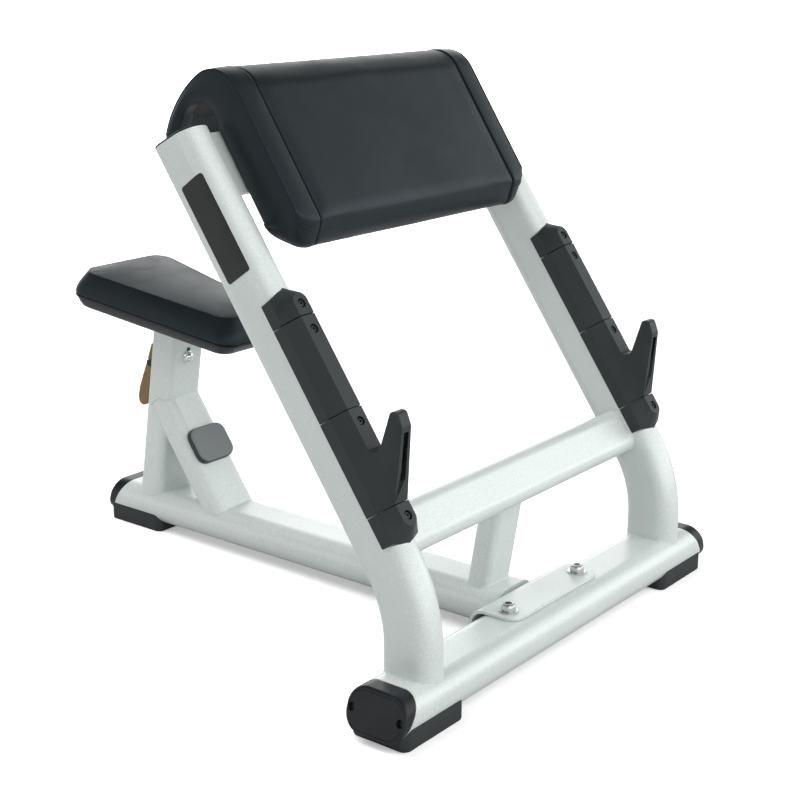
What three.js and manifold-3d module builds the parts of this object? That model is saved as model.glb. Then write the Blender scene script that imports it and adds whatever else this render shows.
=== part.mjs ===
// A preacher curl bench: a welded steel tube frame, a bar rack on its two leaning uprights,
// a padded arm rest between them, and a padded seat whose height is set by a telescoping post.
// Millimetres. +X is the sitter's left to right across the front beam, +Y runs back to the seat
// and +Z is up. The origin is on the floor under the middle of the outline.

import * as THREE from 'three';
import { ConvexGeometry } from 'three/addons/geometries/ConvexGeometry.js';
import { mergeVertices } from 'three/addons/utils/BufferGeometryUtils.js';
import Module from 'manifold-3d';

// Fits
const weldGap = 0.3; // between pieces that are welded, glued or pressed together
const runningGap = 0.3; // between pieces that slide or turn
const cutOverrun = 4; // how far a cutting shape runs past what it cuts
const mergeDistance = 0.0005;

// Smoothness, in faces
const cornerFaces = 4;
const bendFaces = 6;
const padFaces = 8;
const roundFaces = 16;
const holeFaces = 10;
const hexFaces = 6;
const edgeFaces = 3;
const quarterTurn = Math.PI / 2;
const halfTurn = Math.PI;
const fullTurn = Math.PI * 2;

// Base tubes: flat ovals, the beam across the front and the spine running back from it
const tubeDepth = 110;
const tubeHeight = 68;
const tubeCorner = 31;
const tubeWall = 3.5;
const groundClearance = 15;
const beamHalfLength = 434;
const spineEnd = 999;
const endRake = 31;

// End caps of the base tubes
const capDepth = 20.3;
const capRake = 19;
const capBevel = 2;
const capBevelInset = 2;
const capPlugLength = 20;
const capPlugWall = 4;
const capPinAcross = 90;
const capPinDepth = 6;
const capPinWidth = 12;
const capPinHeight = 13;

// Rubber feet
const footLength = 146;
const rearFootLength = 144;
const footWidth = 106;
const footCorner = 14;
const footHug = 21;
const footBevel = 2;
const footInset = 57;
const rearFootInset = 49;

// Uprights: flat ovals bent once above the beam
const uprightInset = 74.6;
const uprightCentre = 3.4;
const uprightWidth = 61;
const uprightDepth = 96;
const uprightWall = 3;
const uprightBendHeight = 191;
const uprightBendRadius = 226;
const uprightLean = 34.85;
const uprightLength = 795;
const topCapLip = 3;
const topCapPlug = 16;
const topCapWall = 3;
const topCapRimShare = 0.6;
const topCapInsetShare = 0.4;

// Cross-member between the uprights
const crossHeight = 80;
const crossDepth = 50;
const crossCorner = 20;
const crossWall = 3;
const crossUp = 105;
const crossBack = 7;

// Centre strut
const strutWidth = 77;
const strutDepth = 44;
const strutCorner = 15;
const strutWall = 3;
const strutFoot = 119.7;
const strutLean = 9.5;
const strutReach = 10;

// Bracket plate that joins the spine to the beam
const bracketHalfWidth = 130;
const bracketThickness = 5.5;
const bracketFrontInset = 31;
const bracketFlatInset = 17;
const bracketBend = 29;
const bracketCorner = 25;
const bracketSkirt = 43;
const bracketBoltInset = 26;
const bracketBoltBack = 7;
const bracketBoltShank = 12;
const bracketBoltHead = 24;
const bracketBoltHeadHeight = 11;
const bracketBoltSocket = 12;
const bracketBoltSocketDepth = 6;
const bracketBoltGrip = 8;
const bracketBoltCrownShare = 0.62;
const bracketBoltRimShare = 0.33;
const bracketBoltShoulderShare = 0.8;
const washerWidth = 33;
const washerThickness = 2.5;

// Seat post and brace
const postWidth = 94;
const postDepth = 60;
const postCorner = 18;
const postWall = 3;
const postInset = 88;
const postLean = 9.5;
const postLength = 335;
const supportSink = 2;
const braceWidth = 96;
const braceDepth = 61;
const braceCorner = 22;
const braceWall = 3;
const braceSpread = 167.3;
const braceLean = 35.3;

// Plate on the front of the brace
const badgeWidth = 90;
const badgeHeight = 72;
const badgeThickness = 14;
const badgeCorner = 20;
const badgeUp = 113.5;
const badgeBevel = 2.5;

// Telescoping seat post
const sleeveWall = 2.2;
const sleeveLength = 90;
const sleeveLip = 3;
const sleeveLipReach = 2;
const innerPostWall = 3;
const innerPostBottom = 90;
const seatTravel = 120;
const holePitch = 20;
const guideBoltDrop = 48;
const guideBoltShank = 10;
const guideBoltHead = 26;
const guideBoltHeadHeight = 11;
const guideBoltFlange = 3;
const guideBoltEnd = 4;
const guideBoltDomeShares = [[0.82, 0], [0.76, 0.6], [0.5, 0.93]];

// Seat lock
const lockPinDrop = 55;
const lockPinWidth = 12;
const lockPinStem = 8;
const lockPinHead = 13;
const lockPinHeadLength = 3.8;
const lockPinChamfer = 1;
const barrelWidth = 22;
const barrelLength = 13;
const barrelWall = 3;
const clawClearance = 0.5;
const clawThickness = 4.1;
const clawRise = 4;
const clawDrop = 16;
const clawRoll = 1.5;
const pivotReach = 29;
const pivotDrop = 33;
const pivotPinWidth = 5;
const pivotPinHalfLength = 17;
const earRadius = 6.5;
const earThickness = 3;
const earBaseHeight = 26;

// Release lever: drops are below its pivot, and backs and fronts are behind and before it
const leverHalfWidth = 12;
const leverWall = 3;
const leverBackWall = 4;
const leverBack = 8.5;
const leverHeadRise = 8;
const leverHeadChamfer = 2;
const leverEdgeRadius = 3;
const leverCheekFront = 7.5;
const leverCheekDrop = 8;
const leverChannelDrop = 12;
const leverNotchHeight = 11;
const leverNotchDepth = 3.5;
const gripMidDrop = 29;
const gripMidFront = 5;
const gripMidBack = 16;
const gripLowDrop = 60;
const gripLowFront = 2;
const gripLowBack = 23.5;
const gripTailDrop = 80;
const gripTailBack = 25;
const gripToeDrop = 89;
const gripToeBack = 9;
const gripToeRadius = 5;
const gripHeelDrop = 93;
const gripHeelBack = 21;
const gripHeelRadius = 8;
const gripEndDrop = 95;
const gripBackRadius = 20;
const leverSwing = 15;
const springWire = 1.6;
const springRadius = 4.2;
const springTurns = 5;
const springPitch = 2.3;
const springLeg = 14;
const springStepsPerTurn = 8;
const springSides = 5;

// Seat
const seatPlateHalfWidth = 55;
const seatPlateHalfDepth = 80;
const seatPlateThickness = 6;
const seatPlateCorner = 12;
const seatRise = 17;
const seatPanHeight = 24;
const seatCreaseRise = 29.7;
const seatHeight = 70.2;
const seatRear = 169.7;
const seatRearHalfWidth = 107.2;
const seatFront = 178;
const seatFrontHalfWidth = 61.6;
const seatCorner = 30;
const seatCrown = 4;
const seatSideOut = 15;
const seatFrontOut = 23;
const seatScrewBack = 62;
const seatScrewWidth = 8;
const seatScrewHead = 14;
const seatScrewHeadHeight = 5;
const seatScrewBite = 14;
const seatScrewCrownShare = 0.7;
const seatScrewRimShare = 0.4;
// Each station of the pan and of the cushion's wall: outward reach, height and corner
const panShares = [[0.1, 0, 0.8], [0.35, 0.15, 0.9], [0.8, 0.7, 1], [0.92, 1, 1]];
const wallShares = [[1, 0], [0.86, 0.3], [0.3, 0.78], [0, 0.95], [-0.12, 1]];
const wallFootShare = 0.9;
// Each station of the cushion's top: how far it is drawn in, its crown and its corner
const topShares = [[0.25, 0.5, 0.8], [0.55, 0.85, 0.6], [0.8, 1, 0.3]];

// Arm pad, in its own frame: depth behind the padded face, and height up the face
const padSideGap = 23.4;
const padForward = 90.6;
const padDrop = 212.3;
const padLean = 33.5;
const padThickness = 70;
const padFaceHeight = 228;
const padShoulder = 60;
const padRollRadius = 185;
const padRollSweep = 42;
const padLipThickness = 21.4;
const padNoseBack = 36;
const padNoseDrop = 20;
const padHeelRise = 18;
const padCreaseRadius = 6;
const padNoseRadius = 14;
const padHeelRadius = 16;
const padBottomCorner = 30;
const padCornerReach = 60;
const padArchBack = 104.5;
const padArchUp = 218.5;
const padArchRadius = 41.5;
const padArchSweep = 50;
const padCrown = 3;
const padCrownDepthShare = 0.4;
const padCrownRiseShare = 0.3;
const padEndCrownShare = 0.33;
const padFaceShares = [0.75, 0.5, 0.25];
const padCrownPlaceShares = [0.85, 0.55];
const padEndPlaceShares = [0.26, 0.5];
const padEndPanel = 45.5;
const padSeamDepth = 1.4;
const padSeamHalfWidth = 3;
const padEndRound = 5;
const padEndRoundShare = 0.3;
const boardThickness = 9;
const boardInset = 23.5;
const boardBottom = 24;
const boardArchSweep = 60;

// Arm pad brackets
const padPlateThickness = 6;
const padPlateBottom = 90;
const padPlateTop = 196;
const padPlateStep = 125;
const padPlateStepThickness = 4;
const padPlateReach = 73.5;
const padBoltInset = 37.5;
const padBoltLow = 108;
const padBoltHigh = 170;
const padBoltWidth = 8;
const padBoltHead = 15;
const padBoltHeadHeight = 6;
const padBoltBite = 7;

// Bar rack: moulded guards over the front of each upright
const guardSide = 31.5;
const guardWrap = 21;
const guardSideFront = 43;
const guardFront = 70;
const guardStripHalfWidth = 15;
const guardSeam = 1.2;
const guardTop = 505;
const guardSeamHigh = 449;
const guardSeamMid = 294;
const guardSeamLow = 139;
const guardBottom = 80;
const guardBaseSink = 1;
const topStripDrop = 19;
const topSideDrop = 14;
const lowStripRise = 21;
const lowSideRise = 10;
const hookRoot = 69;
const hookCrotch = 203.4;
const hookCrotchRadius = 14;
const hookTipBack = 138;
const hookTipTop = 259;
const hookTipFront = 149;
const hookTipFrontHeight = 251;
const hookNose = 143.5;
const hookNoseHeight = 229;
const hookTipRadius = 6;
const hookNoseRadius = 10;
const hookTipHalfWidth = 10;
const hookSlotWidth = 11;
const hookSlotDepth = 10;
const hookSlotLow = 34;
const hookSlotHigh = 108;
const guardScrewHeights = { top: 468, middle: 425.5, hook: 272, low: 118 };
const guardScrewShank = 6;
const guardScrewHead = 12;
const guardScrewHeadHeight = 4;
const guardScrewRecess = 14.4;
const guardScrewRecessDepth = 6;
const guardScrewSocket = 5;
const guardScrewSocketDepth = 2.5;
const guardScrewBite = 8;
const guardScrewCrownShare = 0.72;

// Finishes
const silverPaint = { color: 0xbac4c0, roughness: 0.42, metalness: 0.55 };
const blackPlastic = { color: 0x2c3032, roughness: 0.5, metalness: 0 };
const guardPlastic = { color: 0x464c4e, roughness: 0.55, metalness: 0 };
const footRubber = { color: 0x3c4446, roughness: 0.85, metalness: 0 };
const zincSteel = { color: 0xc8cac8, roughness: 0.3, metalness: 1 };
const blackSteel = { color: 0x2b2e30, roughness: 0.4, metalness: 0.7 };
const chromeSteel = { color: 0xd8dadb, roughness: 0.12, metalness: 1 };
const padVinyl = { color: 0x33383a, roughness: 0.45, metalness: 0 };
const bareBoard = { color: 0x1d1f20, roughness: 0.8, metalness: 0 };
const bronzeLever = { color: 0x6e4f2c, roughness: 0.45, metalness: 0.35 };
const badgeGrey = { color: 0x797f82, roughness: 0.5, metalness: 0.1 };
const springSteel = { color: 0x8d9092, roughness: 0.35, metalness: 1 };

// Places that follow from the sizes
const tubeCentre = groundClearance + tubeHeight / 2;
const tubeTop = groundClearance + tubeHeight;
const supportBase = tubeTop - supportSink;
const footCentre = beamHalfLength - footInset;
const rearFootCentre = spineEnd - rearFootInset;
const uprightAcross = beamHalfLength - uprightInset;
const bracketFront = tubeDepth / 2 - bracketFrontInset;
const bracketFlat = tubeDepth / 2 - bracketFlatInset;
const bracketBack = bracketFlat + bracketBend;
const bracketBoltAcross = bracketHalfWidth - bracketBoltInset;
const spineStart = bracketBack + weldGap;
const postFoot = spineEnd - postInset;
const braceFoot = postFoot - braceSpread;
const lockPinHeight = postLength - lockPinDrop;
const guideBoltHeight = postLength - guideBoltDrop;
const pivotHeight = lockPinHeight - pivotDrop;
const seatBottom = postLength + seatRise;
const seatCrease = seatBottom + seatCreaseRise;
const seatTop = seatBottom + seatHeight;
const padUp = uprightLength - padDrop;
const padHalfWidth = uprightAcross - uprightWidth / 2 - padSideGap;
const padSeamAcross = padHalfWidth - padEndPanel;
const boardHalfWidth = padHalfWidth - boardInset;
const padPlateInner = padHalfWidth - padPlateReach;
const padBoltAcross = padHalfWidth - padBoltInset;

const wasm = await Module();
wasm.setup();

// Solids

function solidOf(geometry) {
  const bare = geometry.clone();
  bare.deleteAttribute('normal');
  bare.deleteAttribute('uv');
  const merged = mergeVertices(bare, mergeDistance);
  const corners = [];
  const source = merged.index.array;
  for (let i = 0; i < source.length; i += 3) {
    const [a, b, c] = [source[i], source[i + 1], source[i + 2]];
    if (a !== b && b !== c && c !== a) corners.push(a, b, c);
  }
  return new wasm.Manifold(new wasm.Mesh({
    numProp: 3,
    vertProperties: merged.attributes.position.array,
    triVerts: new Uint32Array(corners),
  }));
}

function geometryOf(solid) {
  const mesh = solid.getMesh();
  const geometry = new THREE.BufferGeometry();
  geometry.setAttribute('position', new THREE.BufferAttribute(new Float32Array(mesh.vertProperties), 3));
  geometry.setIndex(new THREE.BufferAttribute(new Uint32Array(mesh.triVerts), 1));
  geometry.computeVertexNormals();
  return geometry;
}

function moved(solid, matrix) {
  return solid.transform(matrix.elements);
}

function radians(degrees) {
  return THREE.MathUtils.degToRad(degrees);
}

function shift(x, y, z) {
  return new THREE.Matrix4().makeTranslation(x, y, z);
}

// A frame that stands at a place and leans back by an angle, seen from the side
function leaning(x, y, z, backwards) {
  return shift(x, y, z).multiply(new THREE.Matrix4().makeRotationX(-backwards));
}

// Outlines

function point(x, y) {
  return new THREE.Vector2(x, y);
}

function arc(centreX, centreY, radius, from, to, faces) {
  const points = [];
  for (let i = 0; i <= faces; i += 1) {
    const angle = from + ((to - from) * i) / faces;
    points.push(point(centreX + radius * Math.cos(angle), centreY + radius * Math.sin(angle)));
  }
  return points;
}

function withoutRepeats(points) {
  return points.filter((p, i) => p.distanceTo(points[(i + 1) % points.length]) > mergeDistance * 4);
}

// A rectangle with round corners, listed anticlockwise
function roundedBox(width, depth, corner, faces = cornerFaces) {
  const x = width / 2 - corner;
  const y = depth / 2 - corner;
  return withoutRepeats([
    ...arc(x, -y, corner, -quarterTurn, 0, faces),
    ...arc(x, y, corner, 0, quarterTurn, faces),
    ...arc(-x, y, corner, quarterTurn, halfTurn, faces),
    ...arc(-x, -y, corner, halfTurn, halfTurn + quarterTurn, faces),
  ]);
}

// A polygon whose corners, each [x, y, radius], are rounded
function filleted(corners, faces = cornerFaces) {
  const points = [];
  corners.forEach(([x, y, radius], i) => {
    const corner = point(x, y);
    const before = corners[(i + corners.length - 1) % corners.length];
    const after = corners[(i + 1) % corners.length];
    if (!radius) {
      points.push(corner);
      return;
    }
    const back = point(before[0], before[1]).sub(corner).normalize();
    const ahead = point(after[0], after[1]).sub(corner).normalize();
    const half = Math.acos(THREE.MathUtils.clamp(back.dot(ahead), -1, 1)) / 2;
    const centre = back.clone().add(ahead).normalize().multiplyScalar(radius / Math.sin(half)).add(corner);
    const start = back.clone().multiplyScalar(radius / Math.tan(half)).add(corner).sub(centre);
    const end = ahead.clone().multiplyScalar(radius / Math.tan(half)).add(corner).sub(centre);
    const from = Math.atan2(start.y, start.x);
    let sweep = Math.atan2(end.y, end.x) - from;
    if (sweep > halfTurn) sweep -= fullTurn;
    if (sweep < -halfTurn) sweep += fullTurn;
    points.push(...arc(centre.x, centre.y, radius, from, from + sweep, faces));
  });
  return withoutRepeats(points);
}

// The outline moved outwards by a distance, or inwards where it is negative
function offset(outline, distance) {
  return outline.map((p, i) => {
    const before = outline[(i + outline.length - 1) % outline.length];
    const after = outline[(i + 1) % outline.length];
    const first = p.clone().sub(before).normalize();
    const second = after.clone().sub(p).normalize();
    const outwards = point(first.y + second.y, -first.x - second.x).normalize();
    const stretch = Math.max(first.y * outwards.x - first.x * outwards.y, Math.SQRT1_2);
    return outwards.multiplyScalar(distance / stretch).add(p);
  });
}

// Forms

// An outline carried through a list of stations, each with its own outline and place
function loft(stations) {
  const count = stations[0].outline.length;
  const positions = [];
  const faces = [];
  stations.forEach(({ outline, place }) => {
    outline.forEach((p) => positions.push(...new THREE.Vector3(p.x, p.y, 0).applyMatrix4(place).toArray()));
  });
  for (let s = 0; s < stations.length - 1; s += 1) {
    for (let i = 0; i < count; i += 1) {
      const a = s * count + i;
      const b = s * count + ((i + 1) % count);
      faces.push(a, b, b + count, a, b + count, a + count);
    }
  }
  const last = (stations.length - 1) * count;
  THREE.ShapeUtils.triangulateShape(stations[0].outline, []).forEach(([a, b, c]) => faces.push(a, c, b));
  THREE.ShapeUtils.triangulateShape(stations[stations.length - 1].outline, []).forEach(
    ([a, b, c]) => faces.push(last + a, last + b, last + c),
  );
  const geometry = new THREE.BufferGeometry();
  geometry.setAttribute('position', new THREE.Float32BufferAttribute(positions, 3));
  geometry.setIndex(faces);
  return solidOf(geometry);
}

// An outline of x and y, raised from one height to another
function prism(outline, from, to) {
  const shape = new THREE.Shape(outline);
  const geometry = new THREE.ExtrudeGeometry(shape, { depth: to - from, bevelEnabled: false });
  return solidOf(geometry.translate(0, 0, from));
}

const acrossFrame = new THREE.Matrix4().makeBasis(
  new THREE.Vector3(0, 1, 0),
  new THREE.Vector3(0, 0, 1),
  new THREE.Vector3(1, 0, 0),
);
const alongFrame = new THREE.Matrix4().makeBasis(
  new THREE.Vector3(0, 0, 1),
  new THREE.Vector3(1, 0, 0),
  new THREE.Vector3(0, 1, 0),
);

// An outline of y and z, carried across in x
function across(outline, from, to) {
  return moved(prism(outline, from, to), acrossFrame);
}

// An outline of z and x, carried back in y
function along(outline, from, to) {
  return moved(prism(outline, from, to), alongFrame);
}

// A turned piece about z, from [radius, height] pairs that start and end on the axis
function turned(pairs, faces = roundFaces) {
  return solidOf(new THREE.LatheGeometry(pairs.map(([r, z]) => point(r, z)), faces).rotateX(quarterTurn));
}

function rod(radius, from, to, faces = roundFaces) {
  return turned([[0, from], [radius, from], [radius, to], [0, to]], faces);
}

// The same about an axis that runs back in y, with heights measured backwards
const backFrame = new THREE.Matrix4().makeRotationX(-quarterTurn);

function turnedBack(pairs, x, z, faces = roundFaces) {
  return moved(turned(pairs, faces), shift(x, 0, z).multiply(backFrame));
}

function rodBack(radius, from, to, x, z, faces = holeFaces) {
  return turnedBack([[0, from], [radius, from], [radius, to], [0, to]], x, z, faces);
}

function mirroredAcross(solid, side) {
  return side > 0 ? solid : solid.mirror([1, 0, 0]);
}

function hollow(outer, inner) {
  return outer.subtract(inner);
}

function addPart(parent, name, solid, finish) {
  const mesh = new THREE.Mesh(geometryOf(solid), new THREE.MeshStandardMaterial(finish));
  mesh.name = name;
  parent.add(mesh);
}

function groupAt(parent, frame) {
  const group = new THREE.Group();
  frame.decompose(group.position, group.quaternion, group.scale);
  parent.add(group);
  return group;
}

// Frames that the sub-assemblies stand in
const sides = [
  { name: 'left', side: -1 },
  { name: 'right', side: 1 },
];
const postFrame = leaning(0, postFoot, supportBase, -radians(postLean));
const braceFrame = leaning(0, braceFoot, supportBase, radians(braceLean));
const strutFrame = leaning(0, strutFoot, supportBase, -radians(strutLean));
const rackFrame = leaning(0, uprightCentre, uprightBendHeight, radians(uprightLean));
const padTurn = leaning(0, -padForward, padUp, radians(padLean) - radians(uprightLean));
const padFrame = rackFrame.clone().multiply(padTurn);

function uprightFrame(side) {
  return shift(side * uprightAcross, uprightCentre, uprightBendHeight);
}

function inFrame(solid, frame) {
  return moved(solid, frame.clone().invert());
}

// Base tubes

function tubeSection(grow) {
  return roundedBox(tubeHeight + grow * 2, tubeDepth + grow * 2, tubeCorner + grow);
}

function beamBody(grow, halfLength) {
  const section = roundedBox(tubeDepth + grow * 2, tubeHeight + grow * 2, tubeCorner + grow);
  return moved(across(section, -halfLength, halfLength), shift(0, 0, tubeCentre));
}

function spineBody(grow, from, to) {
  return moved(along(tubeSection(grow), from, to), shift(0, 0, tubeCentre));
}

const beamCutter = beamBody(weldGap, beamHalfLength);
const spineCutter = spineBody(weldGap, spineStart, spineEnd);

// A turn that points a standing piece's own z along a level direction, with its own y upwards
function standingOut(direction) {
  const up = new THREE.Vector3(0, 0, 1);
  return new THREE.Matrix4().makeBasis(up.clone().cross(direction), up, direction);
}

const rearCapFrame = shift(0, spineEnd, tubeCentre).multiply(standingOut(new THREE.Vector3(0, 1, 0)));

function beamCapFrame(side) {
  return shift(side * beamHalfLength, 0, tubeCentre).multiply(standingOut(new THREE.Vector3(side, 0, 0)));
}

// How far a raked end has run back at a tube's top, or out at its bottom
const rakeReach = (tubeHeight / 2) * Math.tan(radians(endRake));

// What the feet hug: the tubes with their caps on
const beamWithCaps = beamBody(weldGap, beamHalfLength + capDepth + rakeReach);
const spineWithCap = spineBody(weldGap, spineStart, spineEnd + capDepth + rakeReach);

// What a raked end cuts away, in its cap's frame: x across the tube, y up, z outwards
const rakeCutter = across([
  point(tubeHeight / 2 + cutOverrun, -rakeReach - cutOverrun * Math.tan(radians(endRake))),
  point(tubeHeight / 2 + cutOverrun, rakeReach * 2),
  point(-tubeHeight / 2, rakeReach * 2),
  point(-tubeHeight / 2, rakeReach),
], -tubeDepth, tubeDepth);

function boltHole(width, x, y, from, to) {
  return moved(rod(width / 2 + runningGap, from, to, holeFaces), shift(x, y, 0));
}

function bracketBoltHole(x, from, to) {
  return boltHole(bracketBoltShank, x, bracketBoltBack, from, to);
}

function frontBeam() {
  const reach = beamHalfLength + rakeReach;
  let beam = hollow(beamBody(0, reach), beamBody(-tubeWall, reach + cutOverrun));
  sides.forEach(({ side }) => {
    beam = beam
      .subtract(moved(rakeCutter, beamCapFrame(side)))
      .subtract(bracketBoltHole(side * bracketBoltAcross, tubeCentre, tubeTop + cutOverrun));
  });
  return beam;
}

function spineTube() {
  return hollow(
    spineBody(0, spineStart, spineEnd + rakeReach),
    spineBody(-tubeWall, spineStart - cutOverrun, spineEnd + rakeReach + cutOverrun),
  ).subtract(moved(rakeCutter, rearCapFrame));
}

// A station of a cap, on a plane that is raked by an angle and crosses the middle at a height
function rakedStation(outline, height, rake) {
  const place = new THREE.Matrix4().makeShear(0, 0, 0, -Math.tan(radians(rake)), 0, 0);
  return { outline, place: shift(0, 0, height).multiply(place) };
}

// A cap for a base tube, built standing up: its rim fits the tube's raked end, and its face
// is raked less
function tubeCap() {
  const outline = roundedBox(tubeDepth, tubeHeight, tubeCorner);
  const plugOutline = offset(outline, -tubeWall - weldGap);
  const coreOutline = offset(plugOutline, -capPlugWall);
  const shell = loft([
    rakedStation(outline, weldGap, endRake),
    rakedStation(outline, capDepth - capBevel, capRake),
    rakedStation(offset(outline, -capBevelInset), capDepth, capRake),
  ]);
  const plug = loft([
    rakedStation(plugOutline, -capPlugLength, endRake),
    rakedStation(plugOutline, capBevel, endRake),
  ]);
  const core = loft([
    rakedStation(coreOutline, -capPlugLength - cutOverrun, endRake),
    rakedStation(coreOutline, 0, endRake),
  ]);
  let cap = shell.add(plug).subtract(core);
  const pinHole = roundedBox(capPinWidth, capPinHeight, capPinWidth / 2);
  const recess = loft([
    rakedStation(pinHole, capDepth - capPinDepth, capRake),
    rakedStation(pinHole, capDepth + cutOverrun, capRake),
  ]);
  sides.forEach(({ side }) => {
    cap = cap.subtract(moved(recess, shift((side * capPinAcross) / 2, 0, 0)));
  });
  return cap;
}

const capReach = capDepth + (tubeHeight / 2 - capBevelInset) * Math.tan(radians(capRake));
const outlineFront = -tubeDepth / 2;
const outlineRear = spineEnd + capReach;
const outlineMiddle = (outlineFront + outlineRear) / 2;

const bench = new THREE.Group();
bench.position.y = -outlineMiddle;

// A rubber foot that hugs the underside of a tube
function foot(length, width, cutter, x, y) {
  const outline = roundedBox(length, width, footCorner);
  const body = loft([
    { outline: offset(outline, -footBevel), place: shift(0, 0, 0) },
    { outline, place: shift(0, 0, footBevel) },
    { outline, place: shift(0, 0, groundClearance + footHug) },
  ]);
  return moved(body, shift(x, y, 0)).subtract(cutter);
}

function spineBracket() {
  const bottom = tubeTop + weldGap;
  const top = bottom + bracketThickness;
  const bendHeight = top - bracketBend;
  const skirtBottom = bendHeight - bracketSkirt;
  const inner = bracketBack - bracketThickness;
  const profile = [
    point(-bracketFront, bottom),
    ...arc(bracketFlat, bendHeight, bracketBend - bracketThickness, quarterTurn, 0, bendFaces),
    point(inner, skirtBottom),
    point(bracketBack, skirtBottom),
    ...arc(bracketFlat, bendHeight, bracketBend, 0, quarterTurn, bendFaces),
    point(-bracketFront, top),
  ];
  const blank = across(withoutRepeats(profile), -bracketHalfWidth, bracketHalfWidth);
  const plan = filleted([
    [-bracketHalfWidth, -bracketFront, bracketCorner],
    [bracketHalfWidth, -bracketFront, bracketCorner],
    [bracketHalfWidth, bracketBack + cutOverrun, 0],
    [-bracketHalfWidth, bracketBack + cutOverrun, 0],
  ]);
  let plate = blank.intersect(prism(plan, 0, top + cutOverrun));
  sides.forEach(({ side }) => {
    const x = side * bracketBoltAcross;
    plate = plate.subtract(bracketBoltHole(x, tubeCentre, top + cutOverrun));
  });
  return plate;
}

const bracketTop = tubeTop + weldGap + bracketThickness;

function bracketWasher() {
  return hollow(
    rod(washerWidth / 2, 0, washerThickness),
    rod(bracketBoltShank / 2 + runningGap, -cutOverrun, washerThickness + cutOverrun, holeFaces),
  );
}

function bracketBolt() {
  const shank = bracketBoltShank / 2;
  const head = bracketBoltHead / 2;
  const crown = head * bracketBoltCrownShare;
  const body = turned([
    [0, -bracketBoltGrip - bracketThickness],
    [shank, -bracketBoltGrip - bracketThickness],
    [shank, 0],
    [head, 0],
    [head, bracketBoltHeadHeight * bracketBoltRimShare],
    [(crown + head) / 2, bracketBoltHeadHeight * bracketBoltShoulderShare],
    [crown, bracketBoltHeadHeight],
    [0, bracketBoltHeadHeight],
  ]);
  const bottom = bracketBoltHeadHeight - bracketBoltSocketDepth;
  const top = bracketBoltHeadHeight + cutOverrun;
  return body.subtract(rod(bracketBoltSocket / 2, bottom, top, hexFaces));
}

function buildBase() {
  addPart(bench, 'front_beam', frontBeam(), silverPaint);
  addPart(bench, 'spine_tube', spineTube(), silverPaint);
  addPart(bench, 'spine_bracket', spineBracket(), silverPaint);
  const washerBottom = bracketTop + weldGap;
  const headBottom = washerBottom + washerThickness + weldGap;
  sides.forEach(({ name, side }) => {
    const x = side * bracketBoltAcross;
    const washer = groupAt(bench, shift(x, bracketBoltBack, washerBottom));
    addPart(washer, `${name}_bracket_washer`, bracketWasher(), zincSteel);
    const bolt = groupAt(bench, shift(x, bracketBoltBack, headBottom));
    addPart(bolt, `${name}_bracket_bolt`, bracketBolt(), zincSteel);
    addPart(groupAt(bench, beamCapFrame(side)), `${name}_beam_cap`, tubeCap(), blackPlastic);
    const footSolid = foot(footLength, footWidth, beamWithCaps, side * footCentre, 0);
    addPart(bench, `${name}_foot`, footSolid, footRubber);
  });
  addPart(groupAt(bench, rearCapFrame), 'spine_cap', tubeCap(), blackPlastic);
  addPart(bench, 'rear_foot', foot(footWidth, rearFootLength, spineWithCap, 0, rearFootCentre), footRubber);
}

// Uprights, in a frame at the bend: x across, y back, z up
const uprightOutline = roundedBox(uprightWidth, uprightDepth, uprightWidth / 2);

function uprightBody(grow, from, to) {
  const section = offset(uprightOutline, grow);
  const lean = radians(uprightLean);
  const tangent = uprightBendRadius * Math.tan(lean / 2);
  const stations = [{ outline: section, place: shift(0, 0, from) }];
  for (let i = 0; i <= bendFaces; i += 1) {
    const angle = (lean * i) / bendFaces;
    const place = shift(0, uprightBendRadius, -tangent)
      .multiply(new THREE.Matrix4().makeRotationX(-angle))
      .multiply(shift(0, -uprightBendRadius, 0));
    stations.push({ outline: section, place });
  }
  stations.push({ outline: section, place: leaning(0, 0, 0, lean).multiply(shift(0, 0, to)) });
  return loft(stations);
}

const uprightStart = tubeCentre - uprightBendHeight;
const uprightSolid = uprightBody(0, uprightStart, uprightLength);
const uprightGrown = uprightBody(weldGap, uprightStart, uprightLength);
const uprightCore = uprightBody(-uprightWall, uprightStart - cutOverrun, uprightLength + cutOverrun);
const leanFrame = leaning(0, 0, 0, radians(uprightLean));

function upright(side) {
  const beam = inFrame(beamCutter, uprightFrame(side));
  let tube = uprightSolid.subtract(beam).subtract(uprightCore);
  Object.values(guardScrewHeights).forEach((height) => {
    const hole = rodBack(guardScrewShank / 2 + runningGap, -uprightDepth / 2 - cutOverrun, 0, 0, height);
    tube = tube.subtract(moved(hole, leanFrame));
  });
  return tube;
}

function topCap() {
  const plugOutline = offset(uprightOutline, -uprightWall - weldGap);
  const crown = offset(uprightOutline, -topCapLip * topCapInsetShare);
  const lip = loft([
    { outline: uprightOutline, place: shift(0, 0, weldGap) },
    { outline: uprightOutline, place: shift(0, 0, weldGap + topCapLip * topCapRimShare) },
    { outline: crown, place: shift(0, 0, weldGap + topCapLip) },
  ]);
  const plug = prism(plugOutline, -topCapPlug, weldGap + topCapLip / 2);
  const core = prism(offset(plugOutline, -topCapWall), -topCapPlug - cutOverrun, 0);
  return lip.add(plug).subtract(core);
}

// Bar rack guards, in the leaning frame of an upright: x across, -y forwards, z up the tube.
// A guard is the convex form between its two ends, less the tube that it sits on
function guardBody(lowEnd, highEnd) {
  const saddle = prism(offset(uprightOutline, weldGap), guardBottom - cutOverrun, guardTop + cutOverrun);
  return solidOf(new ConvexGeometry([...lowEnd, ...highEnd])).subtract(saddle);
}

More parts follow.
